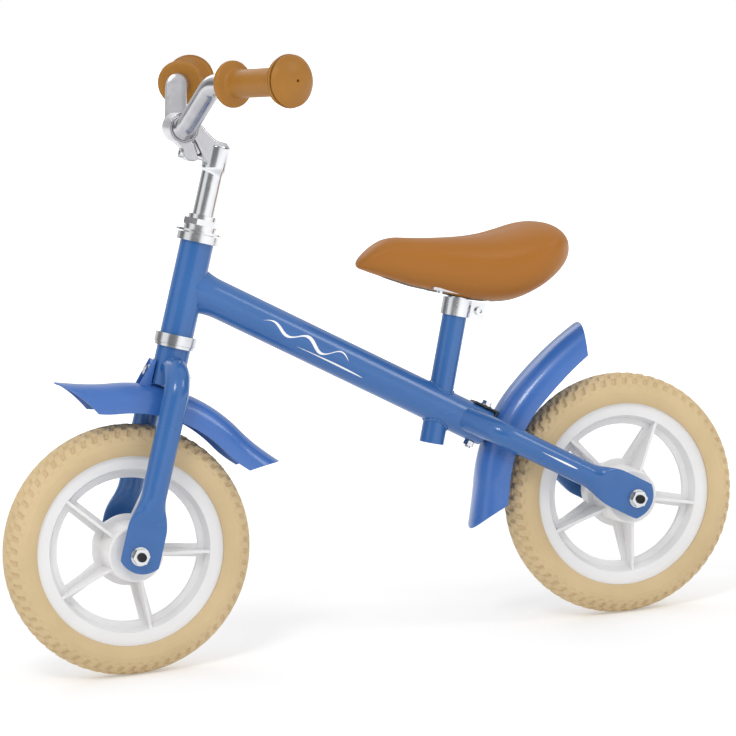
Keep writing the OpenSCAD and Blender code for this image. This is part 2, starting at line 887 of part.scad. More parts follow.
module rim_section() {
    polygon([
        [rim_inner_r, -web_half], [rim_web_r, -web_half - 0.5], [rim_face_r, -rim_half + 1.8],
        [rim_r, -rim_half], [rim_r, -rim_half + rim_lip_t], [rim_seat_r, -bead_half],
        [rim_seat_r, bead_half], [rim_r, rim_half - rim_lip_t], [rim_r, rim_half],
        [rim_face_r, rim_half - 1.8], [rim_web_r, web_half + 0.5], [rim_inner_r, web_half]
    ]);
}

module hub_section() {
    hub_r = hub_d / 2;
    polygon([
        [bush_r, -hub_half], [hub_r - 1.5, -hub_half], [hub_r, -hub_half + 1.5], [hub_r + 2, -web_half],
        [hub_disc_r, -web_half], [hub_disc_r, web_half], [hub_r + 2, web_half],
        [hub_r, hub_half - 1.5], [hub_r - 1.5, hub_half], [bush_r, hub_half]
    ]);
}

// One spoke along +X: a flat blade with a raised rib on both sides
module spoke() {
    translate([hub_d / 2, -spoke_w / 2, -web_half + 0.4])
        cube([rim_inner_r + 2 - hub_d / 2, spoke_w, 2 * web_half - 0.8]);
    rotate([90, 0, 0]) translate([0, 0, -rib_t / 2]) linear_extrude(rib_t) polygon([
        [hub_d / 2 - 2, -hub_half + 7], [rim_face_r - 4, -rim_half + 2.5], [rim_face_r, -rim_half + 2.5],
        [rim_face_r, rim_half - 2.5], [rim_face_r - 4, rim_half - 2.5], [hub_d / 2 - 2, hub_half - 7]
    ]);
}

module rim(phase) {
    color(white) rotate([90, 0, 0]) difference() {
        union() {
            rotate_extrude($fn = 128) rim_section();
            rotate_extrude() hub_section();
            for (i = [0 : spoke_count - 1])
                rotate([0, 0, phase + i * 360 / spoke_count]) spoke();
        }
        translate([0, 0, -hub_half - 1]) cylinder(h = 2 * hub_half + 2, r = bush_r);
    }
}

module hub_bushes() {
    color(satin) both_sides() translate([0, hub_half - bush_len, 0]) along_y() difference() {
        union() {
            cylinder(h = bush_len, r = bush_r);
            translate([0, 0, bush_len]) cylinder(h = bush_flange_t, r = bush_flange_r);
        }
        translate([0, 0, -eps]) cylinder(h = bush_len + bush_flange_t + 2 * eps, r = axle_r + slip);
    }
}

module front_tyre() { at_front() tyre(); }
module front_rim() { at_front() rim(front_spoke_phase); }
module front_hub_bushes() { at_front() hub_bushes(); }
module rear_tyre() { at_rear() tyre(); }
module rear_rim() { at_rear() rim(rear_spoke_phase); }
module rear_hub_bushes() { at_rear() hub_bushes(); }

// ---- Stem, in the steering frame ----

module stem_arm_outline() {
    polygon([
        [-spine_r + 1, clamp_height - 24], [-spine_r + 1, spine_top - 5], [-4, spine_top + 1],
        [clamp_reach - 24, clamp_height + 5], [clamp_reach - 4, clamp_height + barrel_r - 1],
        [clamp_reach, clamp_height], [lug_front, clamp_height - barrel_r + 3],
        [lug_front, lug_bottom + 2], [lug_front - 2, lug_bottom], [8, lug_bottom]
    ]);
}

module stem_body() {
    translate([0, 0, quill_bottom]) cylinder(h = spine_bottom - quill_bottom + eps, r = quill_r);
    translate([0, 0, spine_bottom - 4]) cylinder(h = 4 + eps, r1 = quill_r, r2 = spine_r);
    translate([0, 0, spine_bottom]) cylinder(h = spine_top - spine_bottom, r = spine_r);
    translate([0, arm_half, 0]) rotate([90, 0, 0]) linear_extrude(2 * arm_half) stem_arm_outline();
    translate([clamp_reach, -barrel_half, clamp_height]) along_y()
        cylinder(h = 2 * barrel_half, r = barrel_r);
}

// Slot that lets the lug close on the handlebar: it starts in the bore and runs down and back
module lug_slot() {
    translate([clamp_reach - 11, -barrel_half - 1, clamp_height - 5]) rotate([0, lug_slit_tilt, 0])
        translate([-lug_slit / 2, 0, -lug_slit_len])
            cube([lug_slit, 2 * barrel_half + 2, lug_slit_len + 3]);
}

// Space on one side of the slanted face between the quill and its wedge
module wedge_side(below) {
    translate([0, 0, quill_bottom]) rotate([0, wedge_tilt, 0])
        translate([-wedge_cut / 2, -wedge_cut / 2, below ? -wedge_cut : 0]) cube(wedge_cut);
}

module stem() {
    color(satin) steering_frame() difference() {
        stem_body();
        translate([clamp_reach, -reach_through / 2, clamp_height]) along_y()
            cylinder(h = reach_through, r = bar_clamp_d / 2 + slip);
        lug_slot();
        translate([lug_bolt_end, 0, lug_bolt_s]) rotate([0, 90, 0]) cylinder(h = 60, r = m6_hole_r);
        translate([0, 0, quill_bottom - 1]) cylinder(h = spine_bottom - quill_bottom, r = quill_bore_r);
        translate([0, 0, spine_bottom - 2]) cylinder(h = reach_through, r = expander_r + hole_clearance);
        translate([0, 0, expander_seat]) cylinder(h = reach_through, r = expander_head_r + hole_clearance);
        wedge_side(true);
    }
}

module stem_wedge() {
    color(satin) steering_frame() difference() {
        translate([0, 0, quill_bottom - wedge_len]) cylinder(h = 2 * wedge_len, r = quill_r);
        wedge_side(false);
        translate([0, 0, quill_bottom - 2 * wedge_len]) cylinder(h = 4 * wedge_len, r = expander_r);
    }
}

// Cap screw along Z: its shank ends at -len and its head, with a hexagon socket, sits on zero
module cap_screw(len, r, head_r, head_h, key_r) {
    translate([0, 0, -len]) cylinder(h = len + eps, r = r);
    difference() {
        cylinder(h = head_h, r = head_r);
        translate([0, 0, head_h - key_r]) cylinder(h = key_r + eps, r = key_r, $fn = 6);
    }
}

module stem_expander_bolt() {
    color(chrome) steering_frame() translate([0, 0, expander_seat])
        cap_screw(expander_seat - quill_bottom + wedge_len + 2, expander_r, expander_head_r,
            expander_head_h, 3.4);
}

module stem_clamp_bolt() {
    color(chrome) steering_frame() translate([lug_front, 0, lug_bolt_s]) rotate([0, 90, 0])
        cap_screw(lug_front - lug_bolt_end, m6_r, m6_head_r, m6_head_h, 2.6);
}

// ---- Handlebar ----

function on_grip_line(y) = grip_root + ((y - grip_y) / grip_out) * grip_dir;

// Points and directions of a bend at a corner, from a point before it to a point after it
function bend_line(before, corner, after) = [
    for (i = [0 : bend_steps])
        let (t = i / bend_steps)
            [
                mix(mix(before, corner, t), mix(corner, after, t), t),
                unit(mix(corner - before, after - corner, t))
            ]
];

// The handlebar's left half: [point, direction, radius share of the clamp's swelling]
function bar_half_line() =
    let (
        middle = [clamp_reach, 0, clamp_height],
        low = [clamp_reach, bar_flat_half, clamp_height],
        high = on_grip_line(bar_bend_y),
        rise = unit(high - low),
        out = [0, 1, 0]
    )
    concat(
        [[middle, out, 1], [middle + bar_bulge_half * out, out, 1]],
        [[middle + (bar_bulge_half + 0.3) * out, out, 0]],
        [for (b = bend_line(low - 3.5 * out, low, low + bar_bend_len * rise)) [b[0], b[1], 0]],
        [
            for (b = bend_line(high - bar_bend_len * rise, high, high + bar_bend_len * grip_dir))
                [b[0], b[1], 0]
        ],
        [[grip_root + bar_end_at * grip_dir, grip_dir, 0]]
    );

function bar_ring(at, direction, r) =
    let (up = unit(cross(direction, [1, 0, 0])), side = cross(direction, up))
    [
        for (i = [0 : ring_points - 1])
            let (q = 360 * i / ring_points) at + r * (cos(q) * up + sin(q) * side)
    ];

function other_side(p) = [p.x, -p.y, p.z];

// Rings from the right end to the left one; the inner ones have the bar's own bore all the way
function bar_rings(outer) =
    let (
        half = bar_half_line(),
        radius = [for (b = half) outer ? mix(bar_d, bar_clamp_d, b[2]) / 2 : bar_d / 2 - bar_wall],
        last = len(half) - 1
    )
    concat(
        [for (i = [last : -1 : 1]) bar_ring(other_side(half[i][0]), -other_side(half[i][1]), radius[i])],
        [for (i = [0 : last]) bar_ring(half[i][0], half[i][1], radius[i])]
    );

module handlebar() {
    color(satin) steering_frame() loft(concat(bar_rings(true), reversed(bar_rings(false))), true);
}

// Grip along Z, from its inner flange to its domed end
module grip() {
    dome_ball_r = (grip_dome_r * grip_dome_r + grip_dome_h * grip_dome_h) / (2 * grip_dome_h);
    difference() {
        union() {
            translate([0, 0, -grip_flange_in]) cylinder(h = grip_flange_t, r = grip_flange_r);
            translate([0, 0, -grip_flange_in])
                cylinder(h = grip_cap_at + grip_flange_in + 1, r = grip_d / 2);
            translate([0, 0, grip_cap_at]) cylinder(h = grip_cap_t, r = grip_cap_r);
            translate([0, 0, grip_cap_at + grip_cap_t]) intersection() {
                translate([0, 0, -eps]) cylinder(h = grip_dome_h + eps, r = grip_dome_r);
                translate([0, 0, grip_dome_h - dome_ball_r]) sphere(r = dome_ball_r);
            }
        }
        translate([0, 0, -grip_flange_t]) cylinder(h = bar_end_at + grip_flange_t, r = bar_d / 2);
        cylinder(h = reach_through, r = vent_r);
    }
}

module left_grip() { color(tan) grip_frame("left") grip(); }
module right_grip() { color(tan) grip_frame("right") grip(); }

// ---- Saddle ----

module seat_post() {
    color(chrome) seat_frame() translate([0, 0, post_top - post_len])
        ring(post_len, post_r, post_r - post_wall);
}

module rounded_plate(l, w, t) {
    translate([-(l - w) / 2, 0, 0]) cylinder(h = t, r = w / 2);
    translate([(l - w) / 2, 0, 0]) cylinder(h = t, r = w / 2);
    translate([-(l - w) / 2, -w / 2, 0]) cube([l - w, w, t]);
}

module at_screws() {
    for (x = [-screw_x, screw_x])
        for (y = [-screw_y, screw_y])
            translate([x, y, 0]) children();
}

module saddle_plate() {
    color(satin) seat_frame() translate([0, 0, plate_z]) difference() {
        translate([-plate_len / 2, -plate_w / 2, 0]) cube([plate_len, plate_w, plate_t]);
        at_screws() translate([0, 0, -1]) cylinder(h = 10, r = m5_hole_r);
    }
}

module saddle_base() {
    color(dark) seat_frame() translate([0, 0, plate_z + plate_t]) difference() {
        rounded_plate(base_len, base_w, base_t);
        at_screws() translate([0, 0, -1]) cylinder(h = 5.5, r = m5_r);
    }
}

module saddle_screws() {
    color(chrome) seat_frame() translate([0, 0, plate_z]) at_screws() {
        translate([0, 0, -eps]) cylinder(h = plate_t + 4, r = m5_r);
        translate([0, 0, -2.5]) cylinder(h = 2.5, r = 4.4);
    }
}

// One thin elliptical section of the saddle
module saddle_slice(s) {
    low = saddle_datum_z + s[2];
    high = saddle_datum_z + s[3];
    translate([saddle_tail_x + s[0] * saddle_len, 0, (low + high) / 2]) rotate([0, 90, 0])
        scale([(high - low) / 2, s[1] * saddle_w / 2, 1]) cylinder(h = section_t, r = 1, $fn = 36);
}

module saddle_pad() {
    last = len(saddle_sections) - 1;
    color(tan) difference() {
        for (i = [0 : last - 1])
            hull() {
                saddle_slice(saddle_sections[i]);
                saddle_slice(saddle_sections[i + 1]);
            }
        seat_frame() translate([0, 0, saddle_under - 40])
            rounded_plate(base_len + 2 * pocket_gap, base_w + 2 * pocket_gap,
                40 + plate_z - saddle_under + plate_t + base_t);
        seat_frame() translate([-40, -40, saddle_under - 60]) cube([80, 80, 60]);
    }
}

main_tube();
head_tube();
seat_tube();
left_stay();
right_stay();
lower_headset_cup();
upper_headset_cup();
seat_collar();
seat_collar_bolt();
rear_fender();
rear_fender_bracket();
rear_fender_screws();
rear_fender_bolt();
rear_fender_nut();
rear_axle();
rear_axle_spacers();
rear_axle_washers();
rear_axle_nuts();
fork_steerer();
fork_crown();
left_fork_leg();
right_fork_leg();
crown_race();
lower_headset_balls();
upper_headset_balls();
adjusting_cone();
lock_washer();
headset_locknut();
front_fender();
front_fender_bolt();
front_fender_nut();
front_axle();
front_axle_spacers();
front_axle_washers();
front_axle_nuts();
front_tyre();
front_rim();
front_hub_bushes();
rear_tyre();
rear_rim();
rear_hub_bushes();
stem();
stem_wedge();
stem_expander_bolt();
stem_clamp_bolt();
handlebar();
left_grip();
right_grip();
seat_post();
saddle_plate();
saddle_base();
saddle_screws();
saddle_pad();
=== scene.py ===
"""Visual model of the balance bike: finishes, smooth tubes, treaded tyres, fenders, grips and saddle."""

from __future__ import annotations

import json
import logging
import math
from dataclasses import dataclass
from enum import Enum

import bmesh
import bpy
import numpy as np
from mathutils import Matrix


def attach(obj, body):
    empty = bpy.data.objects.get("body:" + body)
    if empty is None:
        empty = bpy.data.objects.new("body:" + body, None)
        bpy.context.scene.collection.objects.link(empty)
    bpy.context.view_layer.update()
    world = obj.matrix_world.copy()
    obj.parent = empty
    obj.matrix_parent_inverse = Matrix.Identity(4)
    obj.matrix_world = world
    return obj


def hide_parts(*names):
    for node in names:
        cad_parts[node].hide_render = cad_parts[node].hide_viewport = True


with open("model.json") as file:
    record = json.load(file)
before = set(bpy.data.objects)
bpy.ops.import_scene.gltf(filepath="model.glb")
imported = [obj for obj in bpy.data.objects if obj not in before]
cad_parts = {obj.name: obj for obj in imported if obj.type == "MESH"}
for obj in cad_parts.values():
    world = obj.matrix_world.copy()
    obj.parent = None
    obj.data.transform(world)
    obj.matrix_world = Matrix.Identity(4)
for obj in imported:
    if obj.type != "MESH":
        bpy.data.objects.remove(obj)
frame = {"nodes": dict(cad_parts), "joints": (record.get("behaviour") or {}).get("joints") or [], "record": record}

log = logging.getLogger("balance_bike")
MM = 0.001
SHARP_ANGLE = math.radians(38)
SEAM_POINTS = 120

# Tubes that more than one piece follows, in millimetres
MAIN_TUBE_R = 19.05
STAY_R = 12.7
STAY_Y = 46.0
SEAT_TUBE_R = 12.7
SEAT_UP = 224.6  # from the rear hub along the main tube to the seat tube
BAR_REACH = 42.0  # the handlebar's middle, forward of the steering axis
BAR_HEIGHT = 424.0


class Side(Enum):
    """The rider's left, which is +Y, or right."""

    LEFT = 1
    RIGHT = -1

    @property
    def word(self) -> str:
        """The side's name in a piece's name."""
        return self.name.lower()


class Wheel(Enum):
    """Which wheel a piece belongs to, with the body that carries its fixed parts."""

    FRONT = "fork"
    REAR = "frame"

    @property
    def word(self) -> str:
        """The wheel's name in a piece's name."""
        return self.name.lower()


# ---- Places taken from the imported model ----


def joint(name: str) -> dict:
    """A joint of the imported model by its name."""
    return next(j for j in frame["joints"] if j["name"] == name)


@dataclass(frozen=True)
class Axes:
    """A frame in the bike's middle plane: X leans up by an angle from the ground, Y stays to the left."""

    origin: tuple[float, float, float]
    angle: float

    def place(self, points: np.ndarray) -> np.ndarray:
        """World points of local ones: origin + x (cos, 0, sin) + y (0, 1, 0) + z (-sin, 0, cos).

        Args:
            points: Local points, (..., 3), in metres.

        Returns:
            World points of the same shape.
        """
        c, s = math.cos(self.angle), math.sin(self.angle)
        turn = np.array([[c, 0, s], [0, 1, 0], [-s, 0, c]])
        return np.asarray(self.origin) + points @ turn


def leaning(name: str) -> float:
    """How far a joint's axis leans back from the vertical, in radians."""
    axis = joint(name)["axis"]
    return math.atan2(-axis[0], axis[2])


STEERING = Axes(tuple(joint("steering")["pos_m"]), leaning("steering"))
REAR_HUB = tuple(joint("rear_wheel_spin")["pos_m"])
FRONT_HUB = tuple(joint("front_wheel_spin")["pos_m"])
MAIN_ANGLE = math.radians(29.85)
MAIN_TUBE = Axes(REAR_HUB, MAIN_ANGLE)
SEAT = Axes(tuple(MAIN_TUBE.place(np.array([SEAT_UP, 0, 0]) * MM)), leaning("seat_height"))


def hub_of(wheel: Wheel) -> np.ndarray:
    """The middle of a wheel."""
    return np.array(FRONT_HUB if wheel is Wheel.FRONT else REAR_HUB)


def circle_steps(count: int) -> np.ndarray:
    """Equal steps once round a circle, in radians, the last one short of the first."""
    return np.linspace(0, 2 * math.pi, count, endpoint=False)


def squared(wave: np.ndarray, squareness: float | np.ndarray) -> np.ndarray:
    """A cosine or sine bent towards a square's: squareness 2 leaves it, more squares it."""
    return np.sign(wave) * np.abs(wave) ** (2 / squareness)


# ---- Mesh making ----


def make_piece(name: str, points: np.ndarray, faces: list, material: bpy.types.Material) -> bpy.types.Object:
    """A mesh object at the origin, with outward faces and smooth shading between its sharp edges.

    Args:
        name: The piece's name.
        points: Its vertices, (n, 3), in metres.
        faces: Lists of vertex numbers.
        material: Its finish.

    Returns:
        The linked object.
    """
    mesh = bpy.data.meshes.new(name)
    mesh.from_pydata(points.tolist(), [], faces)
    work = bmesh.new()
    work.from_mesh(mesh)
    bmesh.ops.recalc_face_normals(work, faces=work.faces)
    work.to_mesh(mesh)
    work.free()
    mesh.materials.append(material)
    mesh.shade_smooth()
    mesh.set_sharp_from_angle(angle=SHARP_ANGLE)
    obj = bpy.data.objects.new(name, mesh)
    bpy.context.scene.collection.objects.link(obj)
    return obj


def grid_faces(rows: int, cols: int, looped: bool) -> list:
    """Quads of a grid of closed rows: each joins a point to the next in its row and in the next row.

    Args:
        rows: Number of rows of points.
        cols: Number of points in a row.
        looped: Whether the last row joins the first.

    Returns:
        A list of quads.
    """
    i = np.arange(rows if looped else rows - 1)[:, None]
    j = np.arange(cols)[None, :]
    nxt, right = (i + 1) % rows, (j + 1) % cols
    quads = np.stack([i * cols + j, i * cols + right, nxt * cols + right, nxt * cols + j], axis=-1)
    return quads.reshape(-1, 4).tolist()


def loft(
    name: str, rings: np.ndarray, material: bpy.types.Material, looped: bool = False
) -> bpy.types.Object:
    """A closed skin through rings of points, with a flat cap on both ends unless it is looped.

    Args:
        name: The piece's name.
        rings: Points, (rings, points in a ring, 3).
        material: Its finish.
        looped: Whether the last ring joins the first.

    Returns:
        The linked object.
    """
    rows, cols, _ = rings.shape
    faces = grid_faces(rows, cols, looped)
    if not looped:
        faces += [list(range(cols)), list(range((rows - 1) * cols, rows * cols))]
    return make_piece(name, rings.reshape(-1, 3), faces, material)


def smooth_through(at: np.ndarray, x: np.ndarray, y: np.ndarray) -> np.ndarray:
    """A smooth curve through points, a cubic between neighbours with the slope of their neighbours' chord.

    Args:
        at: Where to read the curve.
        x: Rising places of the points, (n,).
        y: What is read there, (n, k).

    Returns:
        The k values at each of those places.
    """
    slope = np.gradient(y, x, axis=0)
    k = np.clip(np.searchsorted(x, at, side="right") - 1, 0, len(x) - 2)
    width = (x[k + 1] - x[k])[:, None]
    t = ((at - x[k]) / (x[k + 1] - x[k]))[:, None]
    return (
        (2 * t**3 - 3 * t**2 + 1) * y[k]
        + (t**3 - 2 * t**2 + t) * width * slope[k]
        + (3 * t**2 - 2 * t**3) * y[k + 1]
        + (t**3 - t**2) * width * slope[k + 1]
    )


def soften(obj: bpy.types.Object, width: float, segments: int, angle: float) -> None:
    """Rounds the sharp edges of a piece.

    Args:
        obj: The piece.
        width: Width of the rounded edges, in millimetres.
        segments: Strips across each of them.
        angle: Least turn between two faces that counts as an edge, in degrees.
    """
    edge = obj.modifiers.new("soft_edge", "BEVEL")
    edge.width, edge.segments = width * MM, segments
    edge.limit_method, edge.angle_limit = "ANGLE", math.radians(angle)


def prism(
    name: str,
    slabs: list[tuple[float, float, list[tuple[float, float]]]],
    axes: Axes,
    material: bpy.types.Material,
    rounding: float,
) -> bpy.types.Object:
    """Outlines in the middle plane pushed out sideways, with their edges rounded.

    Args:
        name: The piece's name.
        slabs: For each prism its lowest Y, highest Y and outline (x, z), in millimetres.
        axes: The frame that the outlines are in.
        material: Its finish.
        rounding: Width of the rounded edges, in millimetres.

    Returns:
        The linked object.
    """
    points, faces = [], []
    for low, high, outline in slabs:
        base, n = len(points), len(outline)
        points += [(x, y, z) for y in (low, high) for x, z in outline]
        faces += [[base + k, base + (k + 1) % n, base + n + (k + 1) % n, base + n + k] for k in range(n)]
        faces += [[base + k for k in range(n)], [base + n + k for k in range(n)]]
    obj = make_piece(name, axes.place(np.array(points) * MM), faces, material)
    soften(obj, rounding, 4, 40)
    return obj


def round_rings(
    line: np.ndarray, radius: np.ndarray, up: np.ndarray, out: np.ndarray, sides: int
) -> np.ndarray:
    """Round rings, one at each point of a line.

    Args:
        line: Middles of the rings, (n, 3).
        radius: Their radii, (n,).
        up: Unit vectors across the line, where the rings begin, (n, 3).
        out: Unit vectors across both, (n, 3).
        sides: Number of points in a ring.

    Returns:
        Rings, (n, sides, 3).
    """
    q = circle_steps(sides)
    spread = np.cos(q)[None, :, None] * up[:, None, :] + np.sin(q)[None, :, None] * out[:, None, :]
    return line[:, None, :] + radius[:, None, None] * spread


def circle_round(line: np.ndarray, radius: np.ndarray, sides: int) -> np.ndarray:
    """Rings round a path: each is square to the path's direction there, with the path's radius there.

    Args:
        line: Points of the path, (n, 3).
        radius: Radius at each point, (n,).
        sides: Number of points in a ring.

    Returns:
        Rings, (n, sides, 3).
    """
    direction = np.gradient(line, axis=0)
    direction /= np.linalg.norm(direction, axis=1, keepdims=True)
    up = np.cross(direction, [1.0, 0.0, 0.0])
    up /= np.linalg.norm(up, axis=1, keepdims=True)
    return round_rings(line, radius, up, np.cross(direction, up), sides)


def turned(profile: np.ndarray, centre: np.ndarray, axis: np.ndarray, sides: int) -> np.ndarray:
    """Rings of a turned piece: each profile point (along, radius) goes once round the axis.

    Args:
        profile: Points (distance along the axis, radius), (n, 2).
        centre: Where the distance is zero.
        axis: Unit vector along the piece.
        sides: Number of points in a ring.

    Returns:
        Rings, (n, sides, 3).
    """
    axis = axis / np.linalg.norm(axis)
    up = np.cross(axis, [0.0, 0.0, 1.0] if abs(axis[2]) < 0.9 else [1.0, 0.0, 0.0])
    up /= np.linalg.norm(up)
    out = np.cross(axis, up)
    q = circle_steps(sides)
    spread = np.cos(q)[:, None] * up + np.sin(q)[:, None] * out
    return centre + profile[:, :1, None] * axis + profile[:, 1:, None] * spread[None]


def rounded_profile(corners: list[tuple[float, float, float]], steps: int = 5) -> np.ndarray:
    """A profile with each corner rounded by a curve that touches both its sides.

    Args:
        corners: (along, radius, rounding) in millimetres.
        steps: Points in each rounded corner, less one.

    Returns:
        Points (along, radius) in metres.
    """
    p = np.array([c[:2] for c in corners])
    t = np.linspace(0, 1, steps + 1)[:, None]
    out = [p[:1]]
    for k in range(1, len(p) - 1):
        back, on = p[k - 1] - p[k], p[k + 1] - p[k]
        reach = min(corners[k][2], 0.49 * np.linalg.norm(back), 0.49 * np.linalg.norm(on))
        a = p[k] + back / np.linalg.norm(back) * reach
        b = p[k] + on / np.linalg.norm(on) * reach
        out.append((1 - t) ** 2 * a + 2 * t * (1 - t) * p[k] + t**2 * b)
    out.append(p[-1:])
    return np.concatenate(out) * MM


# ---- Finishes ----


def add_node(nodes: bpy.types.Nodes, kind: str, **values: object) -> bpy.types.Node:
    """A new node with its input sockets set by name.

    Args:
        nodes: The tree's nodes.
        kind: Blender's name of the node's type.
        values: Values by socket name, with underscores for spaces.

    Returns:
        The node.
    """
    node = nodes.new(kind)
    for key, value in values.items():
        node.inputs[key.replace("_", " ")].default_value = value
    return node


def colour_mix(nodes: bpy.types.Nodes, high: tuple[float, float, float]) -> bpy.types.Node:
    """A new node that mixes from its colour A to a given colour.

    Args:
        nodes: The tree's nodes.
        high: The colour when its factor is 1.

    Returns:
        The node.
    """
    mix = nodes.new("ShaderNodeMix")
    mix.data_type = "RGBA"
    mix.inputs["B"].default_value = (*high, 1)
    return mix


class Shader:
    """A material's node tree with short ways to add and join its nodes."""

    def __init__(self, name: str) -> None:
        """Starts an empty material with one Principled shader."""
        self.material = bpy.data.materials.new(name)
        self.material.use_nodes = True
        self.nodes = self.material.node_tree.nodes
        self.links = self.material.node_tree.links
        self.body = self.nodes["Principled BSDF"]

    def node(self, kind: str, **values: object) -> bpy.types.Node:
        """A node of a kind, with its input sockets set by name.

        Args:
            kind: Blender's name of the node's type.
            values: Values by socket name, with underscores for spaces.

        Returns:
            The node.
        """
        return add_node(self.nodes, kind, **values)

    def link(self, out: bpy.types.NodeSocket, into: bpy.types.NodeSocket) -> None:
        """Joins an output to an input."""
        self.links.new(out, into)

    def set(self, **values: object) -> None:
        """Sets plain values on the Principled shader's own sockets.

        Args:
            values: Values by socket name, with underscores for spaces.
        """
        for key, value in values.items():
            self.body.inputs[key.replace("_", " ")].default_value = value

    def group(self, tree: bpy.types.NodeTree, **values: object) -> bpy.types.Node:
        """Places a shared node group on Object coordinates.

        Args:
            tree: The group.
            values: Its number inputs by name.

        Returns:
            The group's node.
        """
        node = self.nodes.new("ShaderNodeGroup")
        node.node_tree = tree
        for key, value in values.items():
            node.inputs[key].default_value = value
        place = self.nodes.new("ShaderNodeTexCoord")
        self.link(place.outputs["Object"], node.inputs["Place"])
        return node

    def between(self, mask: bpy.types.NodeSocket, low: tuple, high: tuple) -> bpy.types.NodeSocket:
        """A colour that goes with a mask.

        Args:
            mask: Goes from 0 to 1.
            low: Colour at 0.
            high: Colour at 1.

        Returns:
            The colour's socket.
        """
        mix = colour_mix(self.nodes, high)
        mix.inputs["A"].default_value = (*low, 1)
        self.link(mask, mix.inputs["Factor"])
        return mix.outputs["Result"]

    def spread(self, mask: bpy.types.NodeSocket, low: float, high: float) -> bpy.types.NodeSocket:
        """A number that goes with a mask.

        Args:
            mask: Goes from 0 to 1.
            low: Number at 0.
            high: Number at 1.

        Returns:
            The number's socket.
        """
        span = self.node("ShaderNodeMapRange", To_Min=low, To_Max=high)
        self.link(mask, span.inputs["Value"])
        return span.outputs["Result"]

    def raise_by(self, height: bpy.types.NodeSocket, distance: float) -> None:
        """Bumps the surface.

        Args:
            height: Goes from 0 to 1.
            distance: What 1 stands for, in metres.
        """
        bump = self.node("ShaderNodeBump", Strength=1.0, Distance=distance)
        self.link(height, bump.inputs["Height"])
        self.link(bump.outputs["Normal"], self.body.inputs["Normal"])


def new_group(
    name: str, inputs: dict[str, float]
) -> tuple[bpy.types.NodeTree, bpy.types.Node, bpy.types.Node]:
    """A shader node group with a Place input, number inputs, and Mask and Height outputs.

    Args:
        name: The group's name.
        inputs: Number inputs and their usual values.

    Returns:
        The group, its input node and its output node.
    """
    tree = bpy.data.node_groups.new(name, "ShaderNodeTree")
    tree.interface.new_socket("Place", in_out="INPUT", socket_type="NodeSocketVector")
    for key, value in inputs.items():
        made = tree.interface.new_socket(key, in_out="INPUT", socket_type="NodeSocketFloat")
        made.default_value = value
    for key in ("Mask", "Height"):
        tree.interface.new_socket(key, in_out="OUTPUT", socket_type="NodeSocketFloat")
    return tree, tree.nodes.new("NodeGroupInput"), tree.nodes.new("NodeGroupOutput")


def mottle_group() -> bpy.types.NodeTree:
    """Soft uneven patches: a coarse noise, stretched to 0..1, and a fine noise as height.

    Returns:
        The group.
    """
    tree, start, end = new_group("mottle", {"Coarse": 12.0, "Fine": 900.0})
    noises = []
    for key, detail in (("Coarse", 3.0), ("Fine", 2.0)):
        noise = add_node(tree.nodes, "ShaderNodeTexNoise", Detail=detail)
        tree.links.new(start.outputs["Place"], noise.inputs["Vector"])
        tree.links.new(start.outputs[key], noise.inputs["Scale"])
        noises.append(noise)
    span = add_node(tree.nodes, "ShaderNodeMapRange", From_Min=0.3, From_Max=0.7)
    tree.links.new(noises[0].outputs["Fac"], span.inputs["Value"])
    tree.links.new(span.outputs["Result"], end.inputs["Mask"])
    tree.links.new(noises[1].outputs["Fac"], end.inputs["Height"])
    return tree


def pebble_group() -> bpy.types.NodeTree:
    """Leather or moulded grain: cells whose edges dip, with a patchy mask over them.

    Returns:
        The group.
    """
    tree, start, end = new_group("pebble_grain", {"Cells": 900.0, "Patches": 20.0})
    cells = tree.nodes.new("ShaderNodeTexVoronoi")
    cells.feature = "SMOOTH_F1"
    noise = add_node(tree.nodes, "ShaderNodeTexNoise", Detail=4.0)
    tree.links.new(start.outputs["Place"], cells.inputs["Vector"])
    tree.links.new(start.outputs["Place"], noise.inputs["Vector"])
    tree.links.new(start.outputs["Cells"], cells.inputs["Scale"])
    tree.links.new(start.outputs["Patches"], noise.inputs["Scale"])
    flip = tree.nodes.new("ShaderNodeMath")
    flip.operation = "SUBTRACT"
    flip.inputs[0].default_value = 1.0
    tree.links.new(cells.outputs["Distance"], flip.inputs[1])
    tree.links.new(flip.outputs["Value"], end.inputs["Height"])
    tree.links.new(noise.outputs["Fac"], end.inputs["Mask"])
    return tree


@dataclass(frozen=True)
class Finish:
    """A surface that drifts between two close colours and two roughnesses, with a fine grain."""

    name: str
    low: tuple[float, float, float]
    high: tuple[float, float, float]
    rough: tuple[float, float]
    coarse: float
    fine: float
    grain_depth: float

    def grained(self, groups: dict[str, bpy.types.NodeTree], pebbled: bool) -> Shader:
        """The finish's colour, roughness and grain on a new shader.

        Args:
            groups: The shared node groups.
            pebbled: Whether the grain is cells, as on leather.

        Returns:
            The shader.
        """
        s = Shader(self.name)
        if pebbled:
            g = s.group(groups["pebble"], Cells=self.fine, Patches=self.coarse)
        else:
            g = s.group(groups["mottle"], Coarse=self.coarse, Fine=self.fine)
        s.link(s.between(g.outputs["Mask"], self.low, self.high), s.body.inputs["Base Color"])
        s.link(s.spread(g.outputs["Mask"], *self.rough), s.body.inputs["Roughness"])
        s.raise_by(g.outputs["Height"], self.grain_depth)
        return s


@dataclass(frozen=True)
class Coated(Finish):
    """A painted, moulded or rubbery surface."""

    coarse: float = 14.0
    fine: float = 900.0
    grain_depth: float = 0.00002
    coat: float = 0.0
    coat_rough: float = 0.05
    specular: float = 0.5
    pebbled: bool = False

    def make(self, groups: dict[str, bpy.types.NodeTree]) -> bpy.types.Material:
        """The finish as a material.

        Args:
            groups: The shared node groups.

        Returns:
            The material.
        """
        s = self.grained(groups, self.pebbled)
        s.set(Coat_Weight=self.coat, Coat_Roughness=self.coat_rough, Specular_IOR_Level=self.specular)
        return s.material


